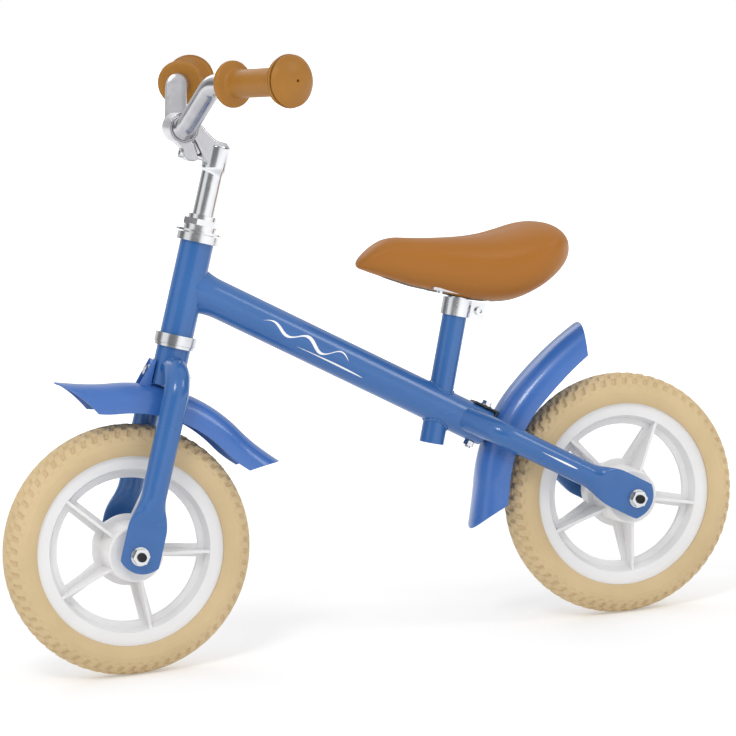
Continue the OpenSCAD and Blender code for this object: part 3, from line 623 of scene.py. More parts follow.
@dataclass(frozen=True)
class Metal(Finish):
    """A bare or plated metal."""

    coarse: float = 40.0
    fine: float = 2500.0
    grain_depth: float = 0.000004

    def make(self, groups: dict[str, bpy.types.NodeTree]) -> bpy.types.Material:
        """The finish as a material.

        Args:
            groups: The shared node groups.

        Returns:
            The material.
        """
        s = self.grained(groups, False)
        s.set(Metallic=1.0)
        return s.material


FINISHES = {
    "frame_paint": Coated(
        "frame_paint", (0.026, 0.115, 0.340), (0.031, 0.130, 0.370), (0.22, 0.30),
        coat=0.35, coat_rough=0.08, specular=0.4, fine=420.0, grain_depth=0.00003,
    ),
    "fender_plastic": Coated(
        "fender_plastic", (0.034, 0.128, 0.415), (0.040, 0.146, 0.455), (0.24, 0.32),
        coat=0.35, coat_rough=0.1, fine=700.0, grain_depth=0.00002,
    ),
    "bracket_steel": Coated("bracket_paint", (0.012, 0.012, 0.014), (0.03, 0.03, 0.032), (0.3, 0.5)),
    # Painted shade: the axle steel is near black so that it stands in for the dark centre of the axle nut, darker
    # than bare steel.
    "axle_steel": Metal("axle_steel", (0.012, 0.012, 0.013), (0.04, 0.04, 0.045), (0.35, 0.5)),
    "spacer_alloy": Metal("spacer_alloy", (0.55, 0.55, 0.57), (0.66, 0.66, 0.68), (0.3, 0.42)),
    "chrome_parts": Metal("chrome_plate", (0.60, 0.61, 0.63), (0.72, 0.73, 0.74), (0.15, 0.24)),
    "ball_steel": Metal("ball_steel", (0.55, 0.55, 0.57), (0.66, 0.66, 0.68), (0.15, 0.25)),
    "tyre_foam": Coated(
        "tyre_foam", (0.565, 0.425, 0.232), (0.635, 0.480, 0.272), (0.50, 0.62),
        coarse=18.0, fine=1300.0, grain_depth=0.00012, specular=0.4,
    ),
    "rim_plastic": Coated(
        "rim_plastic", (0.740, 0.735, 0.735), (0.800, 0.797, 0.797), (0.30, 0.42),
        coarse=10.0, fine=1000.0, grain_depth=0.00003,
    ),
    "stem_alloy": Metal("stem_alloy", (0.42, 0.42, 0.44), (0.52, 0.52, 0.54), (0.22, 0.34), coarse=60.0),
    "bar_steel": Metal("bar_steel", (0.44, 0.44, 0.46), (0.54, 0.54, 0.56), (0.18, 0.28), coarse=50.0),
    "grip_rubber": Coated(
        "grip_rubber", (0.300, 0.122, 0.006), (0.345, 0.143, 0.010), (0.42, 0.55),
        coarse=30.0, fine=1600.0, grain_depth=0.00005, specular=0.45,
    ),
    "saddle_base_plastic": Coated("saddle_base", (0.015, 0.015, 0.015), (0.03, 0.03, 0.03), (0.5, 0.6)),
    "saddle_cover": Coated(
        "saddle_cover", (0.325, 0.118, 0.010), (0.370, 0.138, 0.014), (0.40, 0.50),
        coarse=9.0, fine=700.0, grain_depth=0.00006, pebbled=True, specular=0.35,
    ),
    "flourish_white": Coated("flourish_white", (0.82, 0.82, 0.83), (0.88, 0.88, 0.88), (0.35, 0.45)),
}


class Palette:
    """Every finish as a material, made once."""

    def __init__(self) -> None:
        """Builds the shared groups and the materials."""
        groups = {"mottle": mottle_group(), "pebble": pebble_group()}
        self.made = {key: finish.make(groups) for key, finish in FINISHES.items()}

    def __getitem__(self, key: str) -> bpy.types.Material:
        """The material of a finish by its slot."""
        return self.made[key]


def stand_in(obj: bpy.types.Object, body: str, slot: str, *nodes: str) -> None:
    """Lets a piece ride on a body in place of CAD nodes.

    Args:
        obj: The piece.
        body: The body that carries it.
        slot: Not used; the slot of the finish the piece was made with, usually one of the record's material slots.
        nodes: The CAD nodes it replaces.
    """
    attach(obj, body)
    if nodes:
        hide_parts(*nodes)
    log.info("made %s: %d faces, rides on %s", obj.name, len(obj.data.polygons), body)


# ---- Sub-assemblies ----


@dataclass
class Tyre:
    """A foam tyre: a round section with three kinds of tread block moulded into its outside."""

    wheel: Wheel
    radius: float = 127.0 * MM
    section: float = 20.2 * MM
    rim_radius: float = 96.0 * MM
    lip_half: float = 14.2 * MM
    seat: tuple[float, float] = (91.4 * MM, 11.3 * MM)
    lobes: int = 62
    steps_per_lobe: int = 12
    arc_steps: int = 96
    skew: float = 0.008  # how far a block slants, in lobes for each degree across
    block_share: float = 0.78
    block_edge: float = 1.5
    row_edge: float = 3.0
    groove_depth: float = 0.8
    groove_width: float = 1.5
    flange_at: float = 88.0
    flange_width: float = 3.0
    flange_height: float = 0.35 * MM

    # Rows of blocks: where they begin and end round the section, their shift in lobes, their depth
    BLOCK_ROWS = ((-2, 13, 0.0, 1.6), (15, 34, 0.5, 2.0), (36, 62, 0.0, 2.1), (62, 74, 0.5, 0.7))
    GROOVES = (14.0, 35.0)

    def tread(self, turn: np.ndarray, across: np.ndarray) -> np.ndarray:
        """Depth cut into the tyre: between rows of blocks, and between the blocks of a row.

        A row's blocks are the parts where a wave round the wheel is high; each row is shifted
        against its neighbour, and the shoulder's row is cut the deepest.

        Args:
            turn: Angle round the wheel.
            across: Angle round the section, 0 at the crown, in degrees.

        Returns:
            Depth in metres, 0 on a block's top.
        """
        a = np.abs(across)
        depth = np.zeros(np.broadcast(turn, across).shape)
        for low, high, shift, cut in self.BLOCK_ROWS:
            row = self._step((a - low) / self.row_edge) * self._step((high - a) / self.row_edge)
            wave = np.cos(self.lobes * turn + 2 * math.pi * (shift + self.skew * across))
            block = self._step((wave + self.block_share) * self.block_edge)
            depth += row * (1 - block) * cut
        for middle in self.GROOVES:
            depth += self.groove_depth * np.exp(-(((a - middle) / self.groove_width) ** 2))
        return depth * MM

    @staticmethod
    def _step(x: np.ndarray) -> np.ndarray:
        """A smooth step from 0 to 1 as x goes from 0 to 1."""
        x = np.clip(x, 0, 1)
        return x * x * (3 - 2 * x)

    def build(self, palette: Palette) -> None:
        """The tyre's skin: the section's circle, less the tread, carried round the wheel, then its seat.

        Args:
            palette: The finishes.
        """
        centre = self.radius - self.section
        end = math.degrees(math.acos((self.rim_radius - centre) / self.section))
        across = np.linspace(-end, end, self.arc_steps)[None, :]
        turn = circle_steps(self.lobes * self.steps_per_lobe)[:, None]
        r = self.section - self.tread(turn, across)
        r += self.flange_height * np.exp(-(((np.abs(across) - self.flange_at) / self.flange_width) ** 2))
        out = centre + r * np.cos(np.radians(across))
        side = r * np.sin(np.radians(across))
        lip = np.array([[self.rim_radius, self.lip_half], self.seat])
        bead = np.concatenate([lip, lip[::-1] * [1, -1]])
        out = np.concatenate([out, np.broadcast_to(bead[:, 0], (len(turn), 4))], axis=1)
        side = np.concatenate([side, np.broadcast_to(bead[:, 1], (len(turn), 4))], axis=1)
        points = np.stack([out * np.cos(turn), side, out * np.sin(turn)], axis=-1) + hub_of(self.wheel)
        name = f"{self.wheel.word}_tyre"
        obj = loft(f"{name}_treaded", points, palette["tyre_foam"], looped=True)
        stand_in(obj, f"{self.wheel.word}_wheel", "tyre_foam", name)


@dataclass
class SquashedTube:
    """A stay or a fork leg: round, bent at its top, and squashed flat round the axle.

    All its sizes are in millimetres.
    """

    side: Side
    radius: float = STAY_R
    tube_y: float = STAY_Y
    flat_y: float = 49.5
    flat_half: tuple[float, float] = (20.0, 2.0)
    flat_end: float = 25.0
    flat_square: float = 9.0
    tip_r: float = 26.0
    tip_centre: float = 8.5
    tip_thin: float = 0.72
    taper: float = 36.0
    taper_rings: int = 15
    round_from: float = 0.625  # share of the taper after which its rings are true ellipses
    bend_rings: int = 18
    ring_points: int = 64

    # Where the rings of the flat are, from the tip
    FLAT_RINGS = (-17.45, -17.3, -16.9, -16, -14.5, -12.5, -10.5, -8.5, -4, 10)

    def ring(
        self, along: float, out: float, turn: float, half: tuple[float, float], squareness: float
    ) -> np.ndarray:
        """A superellipse round a point of the middle line, square to the line's direction.

        Args:
            along: Distance up the tube from the axle.
            out: Distance from the middle of the bike.
            turn: The line's angle from straight up.
            half: Half the width across the flat, and half the thickness.
            squareness: 2 for a circle, more for a squarer ring.

        Returns:
            Points (along, out, across), (n, 3), in millimetres.
        """
        q = circle_steps(self.ring_points)
        across = half[0] * squared(np.cos(q), squareness)
        thick = half[1] * squared(np.sin(q), squareness)
        return np.stack([along - thick * math.sin(turn), out + thick * math.cos(turn), across], axis=-1)

    def dropout(self) -> list[np.ndarray]:
        """Rings from the rounded end, along the flat, to the round tube.

        Returns:
            The rings, each (n, 3), in millimetres.
        """
        rings = []
        wide, thin = self.flat_half
        for d in (*self.FLAT_RINGS, self.flat_end):
            tip = math.sqrt(max(self.tip_r**2 - (d - self.tip_centre) ** 2, 1.0))
            half = min(wide, tip) if d < 0 else wide
            thick = thin * (self.tip_thin if d == self.FLAT_RINGS[0] else 1.0)
            rings.append(self.ring(d, self.flat_y, 0, (half, thick), self.flat_square))
        for t in np.linspace(0, 1, self.taper_rings)[1:]:
            e = t * t * (3 - 2 * t)
            half = (wide + (self.radius - wide) * e, thin + (self.radius - thin) * e)
            squareness = self.flat_square + (2.0 - self.flat_square) * min(1.0, t / self.round_from)
            y = self.flat_y + (self.tube_y - self.flat_y) * e
            rings.append(self.ring(self.flat_end + self.taper * t, y, 0, half, squareness))
        return rings

    def bend(self, start: float, bend_r: float, splay: float, rest: float) -> list[np.ndarray]:
        """Rings of the bend towards the middle of the bike, and of the straight end after it.

        Args:
            start: Distance up the tube where the bend begins.
            bend_r: Radius of the bend.
            splay: Angle of the bend, in radians.
            rest: Length of the straight end.

        Returns:
            The rings, each (n, 3), in millimetres.
        """
        rings = []
        r = (self.radius, self.radius)
        for a in np.linspace(0, splay, self.bend_rings):
            along, out = start + bend_r * math.sin(a), self.tube_y - bend_r * (1 - math.cos(a))
            rings.append(self.ring(along, out, -a, r, 2.0))
        rings.append(self.ring(along + rest * math.cos(splay), out - rest * math.sin(splay), -splay, r, 2.0))
        return rings

    def build_stay(self, palette: Palette) -> None:
        """The stay, from the rear axle to the side of the main tube.

        Args:
            palette: The finishes.
        """
        rings = np.array(self.dropout() + self.bend(153.7, 22.0, math.radians(50), 42.0)) * MM
        local = np.stack([rings[..., 0], rings[..., 1] * self.side.value, rings[..., 2]], axis=-1)
        name = f"{self.side.word}_stay"
        obj = loft(f"{name}_tube", MAIN_TUBE.place(local), palette["frame_paint"])
        stand_in(obj, "frame", "frame_paint", name)

    def build_leg(self, palette: Palette) -> None:
        """The fork leg, from the front axle up and round into the crown.

        Args:
            palette: The finishes.
        """
        rings = np.array(self.dropout() + self.bend(157.0, 30.0, math.radians(90), 4.3)) * MM
        local = np.stack([-rings[..., 2], rings[..., 1] * self.side.value, rings[..., 0]], axis=-1)
        name = f"{self.side.word}_fork_leg"
        obj = loft(f"{name}_tube", STEERING.place(local), palette["frame_paint"])
        stand_in(obj, "fork", "frame_paint", name)


@dataclass(frozen=True)
class FenderEnd:
    """One end of a fender: its angle round the wheel, where it starts to turn up, how far, its slant."""

    at: float
    bend: float
    lift: float
    slant: float

    def turned_up(self, a: np.ndarray) -> np.ndarray:
        """How far the end stands out at angles round the wheel."""
        return self.lift * np.clip((a - self.bend) / (self.at - self.bend), 0, None) ** 2


@dataclass
class Fender:
    """A moulded fender: a squarish arch over the wheel, turned up at both ends, with a rolled edge.

    Its middle is shifted from the hub along X and Z. Its sizes are in millimetres and degrees.
    """

    wheel: Wheel
    shift: tuple[float, float]
    low: FenderEnd
    high: FenderEnd
    ridge: float = 167.5
    half: float = 27.0
    depth: float = 28.5
    wall: float = 2.4
    squareness: float = 2.4
    slant_curve: float = 0.7
    rolled_edge: float = 0.7
    rows: int = 110
    cols: int = 61

    def skin(self, inset: float) -> np.ndarray:
        """One face of the shell, inset from the outside.

        A point's angle round the wheel runs between the two slanted ends; its distance from the
        hub is the ridge plus the turned-up end, less the arch's drop towards the sides.

        Args:
            inset: 0 outside, the wall inside, in millimetres.

        Returns:
            Points (rows, cols, 3) in the world, in metres.
        """
        u = np.linspace(0, math.pi, self.cols)[None, :]
        t = np.linspace(0, 1, self.rows)[:, None]
        up = np.clip(np.sin(u), 0, 1) ** (2 / self.squareness)
        out = squared(np.cos(u), self.squareness)
        slant = np.clip(1 - up, 0, 1) ** self.slant_curve
        low, high = self.low, self.high
        a = (low.at + low.slant * slant) * (1 - t) + (high.at - high.slant * slant) * t
        turn_up = low.turned_up(a) + high.turned_up(a)
        r = self.ridge + turn_up - inset - (self.depth - inset) * (1 - up)
        a = np.radians(a)
        y = np.broadcast_to((self.half - inset) * out, a.shape)
        centre = hub_of(self.wheel) + np.array([self.shift[0], 0, self.shift[1]]) * MM
        return centre + np.stack([r * np.cos(a), y, r * np.sin(a)], axis=-1) * MM

    def build(self, palette: Palette) -> None:
        """The shell: its outside, its inside, and strips that close the rim between them.

        Args:
            palette: The finishes.
        """
        both = np.concatenate([self.skin(0.0), self.skin(self.wall)[:, ::-1]], axis=1)
        rows, cols, _ = both.shape
        faces = grid_faces(rows, cols, False)
        j = np.arange(self.cols - 1)
        for row in (0, rows - 1):
            quads = np.stack([j, j + 1, cols - 2 - j, cols - 1 - j], axis=-1) + row * cols
            faces += quads.tolist()
        name = f"{self.wheel.word}_fender"
        obj = make_piece(f"{name}_shell", both.reshape(-1, 3), faces, palette["fender_plastic"])
        soften(obj, self.rolled_edge, 3, 50)
        stand_in(obj, self.wheel.value, "fender_plastic", name)


@dataclass
class FenderTab:
    """The front fender's tab: a slanted plate with a rib along each side, in front of the crown.

    The ribs stand out past the plate along X, Y and Z. All its sizes are in millimetres.
    """

    inner: float = 17.2
    foot: float = 164.0
    height: float = 28.0
    half: float = 9.0
    rib: float = 2.0
    thick: float = 3.0
    rib_foot: float = 12.0
    proud: tuple[float, float, float] = (0.4, 0.2, 0.3)
    rounding: float = 0.6

    def build(self, palette: Palette) -> None:
        """Three prisms joined in one mesh: the plate, and its two ribs.

        Args:
            palette: The finishes.
        """
        x, z = self.inner, self.foot
        top, deep = z + self.height, x + self.thick
        ahead, beside, above = self.proud
        plate = [(x, z), (deep, z), (deep, top), (x, top)]
        rib = [(x, z), (x + self.rib_foot, z), (deep + ahead, top + above), (x, top + above)]
        slabs = [
            (-self.half, self.half, plate),
            (-self.half - beside, -self.half + self.rib, rib),
            (self.half - self.rib, self.half + beside, rib),
        ]
        obj = prism("front_fender_tab", slabs, STEERING, palette["fender_plastic"], self.rounding)
        stand_in(obj, "fork", "fender_plastic")


@dataclass
class Stem:
    """The stem: a plated column, a forged neck leaning forward, and a split barrel round the bar.

    Heights are up the steering axis. All its sizes are in millimetres.
    """

    low: float = 296.0
    low_r: float = 6.0
    column_r: float = 11.0
    neck_r: float = 12.6
    neck_from: float = 387.0
    neck_full: float = 391.0
    shoulder: float = 414.5
    top: float = 419.2
    top_r: float = 7.5
    socket_r: float = 5.2
    socket_floor: float = 413.0
    neck_half: float = 9.6
    neck_rounding: float = 2.6
    lug_half: float = 11.0
    lug_rounding: float = 2.4
    barrel_r: float = 15.7
    bore_r: float = 12.75
    barrel_half: float = 14.5
    barrel_rounding: float = 1.1

    # Outlines (forward, up the steering axis) of the neck and of the lug under the barrel
    NECK = [
        (-4, 399), (4, 392), (10, 394.5), (14, 399), (19, 404), (25, 411.5), (34, 421), (40, 438.6),
        (33, 437), (24, 431.6), (12, 423), (2, 418), (-6, 414),
    ]
    LUG = [
        (27, 411), (22.5, 403.5), (20.5, 396.5), (23, 393.6), (29, 392.8), (34, 396), (37.5, 404),
        (48, 411), (40, 418),
    ]

    # The barrel's end faces, each with a groove: place from the end, place from the bore, rounding
    LEFT_FACE = [(0, 0, 0.5), (0, 0.9, 0.3), (-0.8, 1.1, 0.2), (-0.8, 1.6, 0.2), (0, 1.8, 0.3)]
    RIGHT_FACE = [(0, 1.8, 0.3), (1, 1.4, 0.3), (0, 0.9, 0.3), (0, 0, 0.5)]

    def build(self, palette: Palette) -> None:
        """A turned column and barrel, with the neck and the lug pushed out of their outlines.

        Args:
            palette: The finishes.
        """
        chrome, cast = palette["chrome_parts"], palette["stem_alloy"]
        stand_in(loft("stem_column", self.column(), chrome), "stem", "chrome_parts", "stem")
        for name, outline, half, rounding in (
            ("stem_neck", self.NECK, self.neck_half, self.neck_rounding),
            ("stem_lug", self.LUG, self.lug_half, self.lug_rounding),
        ):
            stand_in(prism(name, [(-half, half, outline)], STEERING, cast, rounding), "stem", "stem_alloy")
        stand_in(loft("stem_barrel", self.barrel(), cast, looped=True), "stem", "stem_alloy")

    def column(self) -> np.ndarray:
        """Rings of the column, from its low end up over the neck and down into the bolt's socket.

        Returns:
            Rings in the world, (n, sides, 3), in metres.
        """
        corners = [
            (self.low, self.low_r, 0), (self.low, self.column_r, 0.5), (self.neck_from, self.column_r, 3),
            (self.neck_full, self.neck_r, 2), (self.shoulder, self.neck_r, 2.5), (self.top, self.top_r, 1.2),
            (self.top, self.socket_r, 0.4), (self.socket_floor, self.socket_r, 0),
        ]
        up = STEERING.place(np.array([[0, 0, 0], [0, 0, 1.0]]))
        return turned(rounded_profile(corners), up[0], up[1] - up[0], 72)

    def barrel(self) -> np.ndarray:
        """Rings of the barrel: along its bore, out over one end, back over its outside and in again.

        Returns:
            Rings in the world, (n, sides, 3), in metres.
        """
        half, bore, outer = self.barrel_half, self.bore_r, self.barrel_r
        corners = [
            (0, bore, 0),
            *((half + inward, bore + out, rounding) for inward, out, rounding in self.LEFT_FACE),
            (half, outer, self.barrel_rounding),
            (-half, outer, self.barrel_rounding),
            *((inward - half, bore + out, rounding) for inward, out, rounding in self.RIGHT_FACE),
            (0, bore, 0),
        ]
        middle = STEERING.place(np.array([BAR_REACH, 0, BAR_HEIGHT]) * MM)
        return turned(rounded_profile(corners)[:-1], middle, np.array([0, 1.0, 0]), 96)


@dataclass
class MainTube:
    """The main tube, flared into a smooth weld where it meets the head tube.

    Squeeze is its half width along Y at the weld. All its sizes are in millimetres.
    """

    radius: float = MAIN_TUBE_R
    wall: float = 1.5
    end: float = 168.2
    head_r: float = 17.0
    sink: float = 0.6
    squeeze: float = 16.2
    flare_len: float = 20.0
    flare: float = 2.6
    flare_curve: float = 2.2
    flare_rings: int = 14

    def reach_of(self, across: float, up: float) -> np.ndarray:
        """How far each line of the tube runs before it meets the head tube.

        Args:
            across: Half width of the tube along Y there.
            up: Its other half width there.

        Returns:
            Distances along the tube, (n,), in millimetres.
        """
        target = seam(MAIN_TUBE, (across, up), STEERING, self.head_r - self.sink, -1, True)
        way = MAIN_TUBE.place(np.array([1.0, 0, 0])) - np.asarray(MAIN_TUBE.origin)
        return ((target - np.asarray(MAIN_TUBE.origin)) @ way) / MM

    @staticmethod
    def ring(along: float | np.ndarray, across: float, up: float) -> np.ndarray:
        """An elliptical ring whose points may each be at their own place along the tube.

        Args:
            along: The place, or the places of the points, (n,).
            across: Half width along Y.
            up: The other half width.

        Returns:
            Points (along, across, up), (n, 3), in millimetres.
        """
        q = circle_steps(SEAM_POINTS)
        return np.stack([along + np.zeros_like(q), across * np.cos(q), up * np.sin(q)], axis=-1)

    def build(self, palette: Palette) -> None:
        """Rings along the tube that end on the head tube's skin, swelling outwards over the last stretch.

        A point slides along its own line of the tube until it meets the head tube. Near the end the
        line moves outwards by the flare, slowly at first. The rings come back inside, along the bore.

        Args:
            palette: The finishes.
        """
        high = self.radius + self.flare
        reach = self.reach_of(self.squeeze, high)
        rings = [self.ring(self.end, self.radius, self.radius)]
        for t in np.linspace(0, 1, self.flare_rings):
            across = self.radius + (self.squeeze - self.radius) * t**2
            up = self.radius + self.flare * t**self.flare_curve
            rings.append(self.ring(reach - self.flare_len * (1 - t), across, up))
        inner = self.reach_of(self.squeeze - self.wall, high - self.wall)
        share = 1 - self.wall / self.squeeze
        bore = self.radius - self.wall
        rings.append(self.ring(inner, self.squeeze * share, high * share))
        rings.append(self.ring(inner - self.flare_len, bore, bore))
        rings.append(self.ring(self.end, bore, bore))
        points = MAIN_TUBE.place(np.array(rings) * MM)
        obj = loft("main_tube_flared", points, palette["frame_paint"], looped=True)
        stand_in(obj, "frame", "frame_paint", "main_tube")


@dataclass
class Handlebar:
    """The bent bar: a level middle swollen in the clamp, two rises, and the grips' stretches.

    All its sizes are in millimetres.
    """

    flat_half: float = 21.0
    bend_y: float = 68.0
    bar_r: float = 11.1
    clamp_r: float = 12.7
    wall: float = 1.8
    swell_half: float = 17.0
    swell_edge: float = 0.15
    bend: float = 9.0
    grip_root: tuple[float, float, float] = (26.1, 100.0, 472.6)
    grip_dir: tuple[float, float, float] = (-0.357, 0.926, 0.1225)
    end_at: float = 86.0
    flat_steps: int = 24
    bend_steps: int = 12
    sides: int = 48

    def half_line(self) -> np.ndarray:
        """Points of the left half of the middle line, its two corners rounded.

        Returns:
            Points (forward, left, up the steering axis), (n, 3), in millimetres.
        """
        root, way = np.array(self.grip_root), np.array(self.grip_dir) / np.linalg.norm(self.grip_dir)
        middle = np.array([BAR_REACH, 0, BAR_HEIGHT])
        low = middle + [0, self.flat_half, 0]
        high = root + (self.bend_y - root[1]) / way[1] * way
        rise = (high - low) / np.linalg.norm(high - low)
        t = np.linspace(0, 1, self.bend_steps)[:, None]
        flat = np.linspace(0, self.flat_half - self.bend, self.flat_steps)[:, None]
        parts = [middle + flat * [0, 1, 0]]
        for before, corner, after in (
            (low - self.bend * np.array([0, 1, 0]), low, low + self.bend * rise),
            (high - self.bend * rise, high, high + self.bend * way),
        ):
            parts.append(((1 - t) ** 2 * before + 2 * t * (1 - t) * corner + t**2 * after)[1:])
        last = parts[-1][-1]
        parts.append(last + t[1:] * (root + self.end_at * way - last))
        return np.concatenate(parts)

    def build(self, palette: Palette) -> None:
        """The bar's outside and bore, carried along the whole line as one looped skin.

        Args:
            palette: The finishes.
        """
        half = self.half_line()
        line = np.concatenate([(half * [1, -1, 1])[:0:-1], half])
        swell = 1 / (1 + np.exp((np.abs(line[:, 1]) - self.swell_half) / self.swell_edge))
        radius = self.bar_r + (self.clamp_r - self.bar_r) * swell
        placed = STEERING.place(line * MM)
        outside = circle_round(placed, radius * MM, self.sides)
        inside = circle_round(placed, np.full(len(line), self.bar_r - self.wall) * MM, self.sides)
        rings = np.concatenate([outside, inside[::-1]])
        obj = loft("handlebar_tube", rings, palette["bar_steel"], looped=True)
        stand_in(obj, "handlebar", "bar_steel", "handlebar")


@dataclass
class Grip:
    """A rubber grip: a mushroom flange, a ribbed hand part, and a wide end cap with a vent."""

    side: Side
    bar: Handlebar
    hand_r: float = 13.8
    ribbed: tuple[float, float] = (8.6, 73.0)
    plain: tuple[float, float] = (8.5, 73.2)
    rib_height: float = 0.09
    rib_pitch: float = 4.2
    rib_points: int = 160
    sides: int = 96

    # Distance from the grip's root, radius and rounding of each corner, in millimetres
    PROFILE = [
        (-5.0, 11.15, 0), (-5.0, 20.5, 1.5), (-3.6, 23.0, 2.2), (0.6, 23.0, 2.0), (2.4, 20.0, 1.8),
        (4.6, 14.9, 2.2), (8.0, 13.8, 1.5), (76.6, 13.8, 2.5), (78.6, 22.6, 2.0), (79.8, 24.2, 0.8),
        (81.8, 24.4, 0.8), (82.1, 19.5, 0.4), (83.5, 19.5, 0.4), (83.8, 25.6, 0.6), (86.2, 26.0, 0.8),
        (86.5, 20.5, 0.4), (87.7, 20.5, 0.4), (88.0, 25.4, 0.9), (90.2, 25.2, 1.6), (94.4, 20.4, 5.0),
        (98.0, 11.0, 6.0), (98.4, 4.0, 3.0), (98.4, 1.6, 0.3), (97.0, 1.3, 0.3), (92.0, 1.3, 0),
    ]

    def build(self, palette: Palette) -> None:
        """The turned profile, with shallow waves of finger ribs along the hand part.

        Args:
            palette: The finishes.
        """
        profile = rounded_profile(self.PROFILE)
        along = np.linspace(*self.ribbed, self.rib_points)
        ribs = self.hand_r + self.rib_height * np.cos(2 * math.pi * along / self.rib_pitch)
        before = profile[profile[:, 0] < self.plain[0] * MM]
        after = profile[profile[:, 0] > self.plain[1] * MM]
        profile = np.concatenate([before, np.stack([along, ribs], axis=-1) * MM, after])
        root, way = np.array(self.bar.grip_root), np.array(self.bar.grip_dir)
        placed = STEERING.place(np.array([root, root + way]) * [1, self.side.value, 1] * MM)
        rings = turned(profile, placed[0], placed[1] - placed[0], self.sides)
        name = f"{self.side.word}_grip"
        obj = loft(f"{name}_rubber", rings, palette["grip_rubber"])
        stand_in(obj, "handlebar", "grip_rubber", name)


@dataclass
class Saddle:
    """The padded saddle: wide and dished behind, narrow in front, its underside boat-shaped.

    All its sizes are in millimetres, with X from the middle of the bike.
    """

    rows: int = 150
    ring_points: int = 120
    squareness: float = 2.25
    top_squareness: float = 2.4
    under_squareness: float = 2.3
    waist_share: float = 0.56
    least_half: float = 0.5
    dish_depth: float = 1.6
    dish_at: float = -110.0
    dish_len: float = 55.0
    dish_half: float = 14.0
    pan_share: float = 0.34
    pan_depth: float = 4.0
    pan_below: float = 0.25
    pan_ends: tuple[int, int] = (22, 30)

    # Place along the bike, top, underside and half width, in millimetres
    STATIONS = [
        (7.2, 391.5, 391.0, 0.6), (6.4, 394.2, 388.9, 5.0), (4.0, 397.4, 387.0, 9.0),
        (0.0, 401.2, 385.3, 12.6), (-6.0, 406.0, 382.5, 15.8), (-14.0, 411.0, 379.2, 18.6),
        (-23.0, 414.8, 375.2, 20.8),
        (-34.0, 416.2, 370.6, 23.2), (-48.0, 415.2, 365.0, 26.2), (-65.0, 413.8, 359.8, 29.8),
        (-83.0, 412.9, 354.2, 34.6), (-100.0, 412.2, 348.6, 40.6), (-118.0, 412.0, 344.2, 47.6),
        (-136.0, 413.2, 341.6, 54.8), (-154.0, 416.2, 342.2, 60.6), (-172.0, 419.6, 347.6, 64.0),
        (-184.0, 420.6, 353.4, 63.4), (-195.0, 419.4, 360.4, 58.6), (-204.0, 415.8, 367.4, 50.0),
        (-210.6, 410.6, 373.8, 39.6), (-215.2, 404.6, 380.4, 27.6), (-217.8, 399.0, 386.4, 15.6),
        (-218.8, 393.4, 392.8, 1.0),
    ]

    def along(self) -> np.ndarray:
        """Place, top, underside and half width of each ring, read from a curve through the stations.

        Returns:
            Four columns, (4, rows, 1), in millimetres.
        """
        stations = np.array(self.STATIONS)
        step = np.linalg.norm(np.diff(stations[:, [0, 1, 3]], axis=0), axis=1)
        run = np.concatenate([[0], np.cumsum(step)])
        return smooth_through(np.linspace(0, run[-1], self.rows), run, stations).T[:, :, None]

    def build(self, palette: Palette) -> None:
        """Superelliptic rings nose to tail with a shallow dish along the top, and the pan under them.

        Args:
            palette: The finishes.
        """
        x, top, low, half = self.along()
        half = np.maximum(half, self.least_half)
        q = circle_steps(self.ring_points)[None, :]
        c, s = np.cos(q), np.sin(q)
        y = half * squared(c, self.squareness)
        waist = low + self.waist_share * (top - low)
        rise = np.where(s > 0, top - waist, waist - low)
        z = waist + rise * squared(s, np.where(s > 0, self.top_squareness, self.under_squareness))
        mid_y = np.exp(-((y / self.dish_half) ** 2))
        mid_x = np.exp(-(((x - self.dish_at) / self.dish_len) ** 2))
        dish = self.dish_depth * np.clip(s, 0, 1) ** 3 * mid_y * mid_x
        points = np.stack([np.broadcast_to(x, y.shape), y, z - dish], axis=-1) * MM
        obj = loft("saddle_cushion", points, palette["saddle_cover"])
        stand_in(obj, "saddle", "saddle_cover", "saddle_pad")

        # The pan is a narrower copy of the underside, from a little below it up into the cushion
        keep = slice(self.pan_ends[0], -self.pan_ends[1])
        pan_y = self.pan_share * y[keep]
        level = np.sqrt(1 - (self.pan_share * np.abs(c) ** (2 / self.squareness)) ** self.squareness)
        under = waist[keep] - (waist - low)[keep] * level ** (2 / self.under_squareness)
        pan_z = under + np.where(s > 0, self.pan_depth, self.pan_below) * s
        pan = np.stack([np.broadcast_to(x[keep], pan_y.shape), pan_y, pan_z], axis=-1) * MM
        pan_obj = loft("saddle_pan", pan, palette["saddle_base_plastic"])
        stand_in(pan_obj, "saddle", "saddle_base_plastic", "saddle_base")


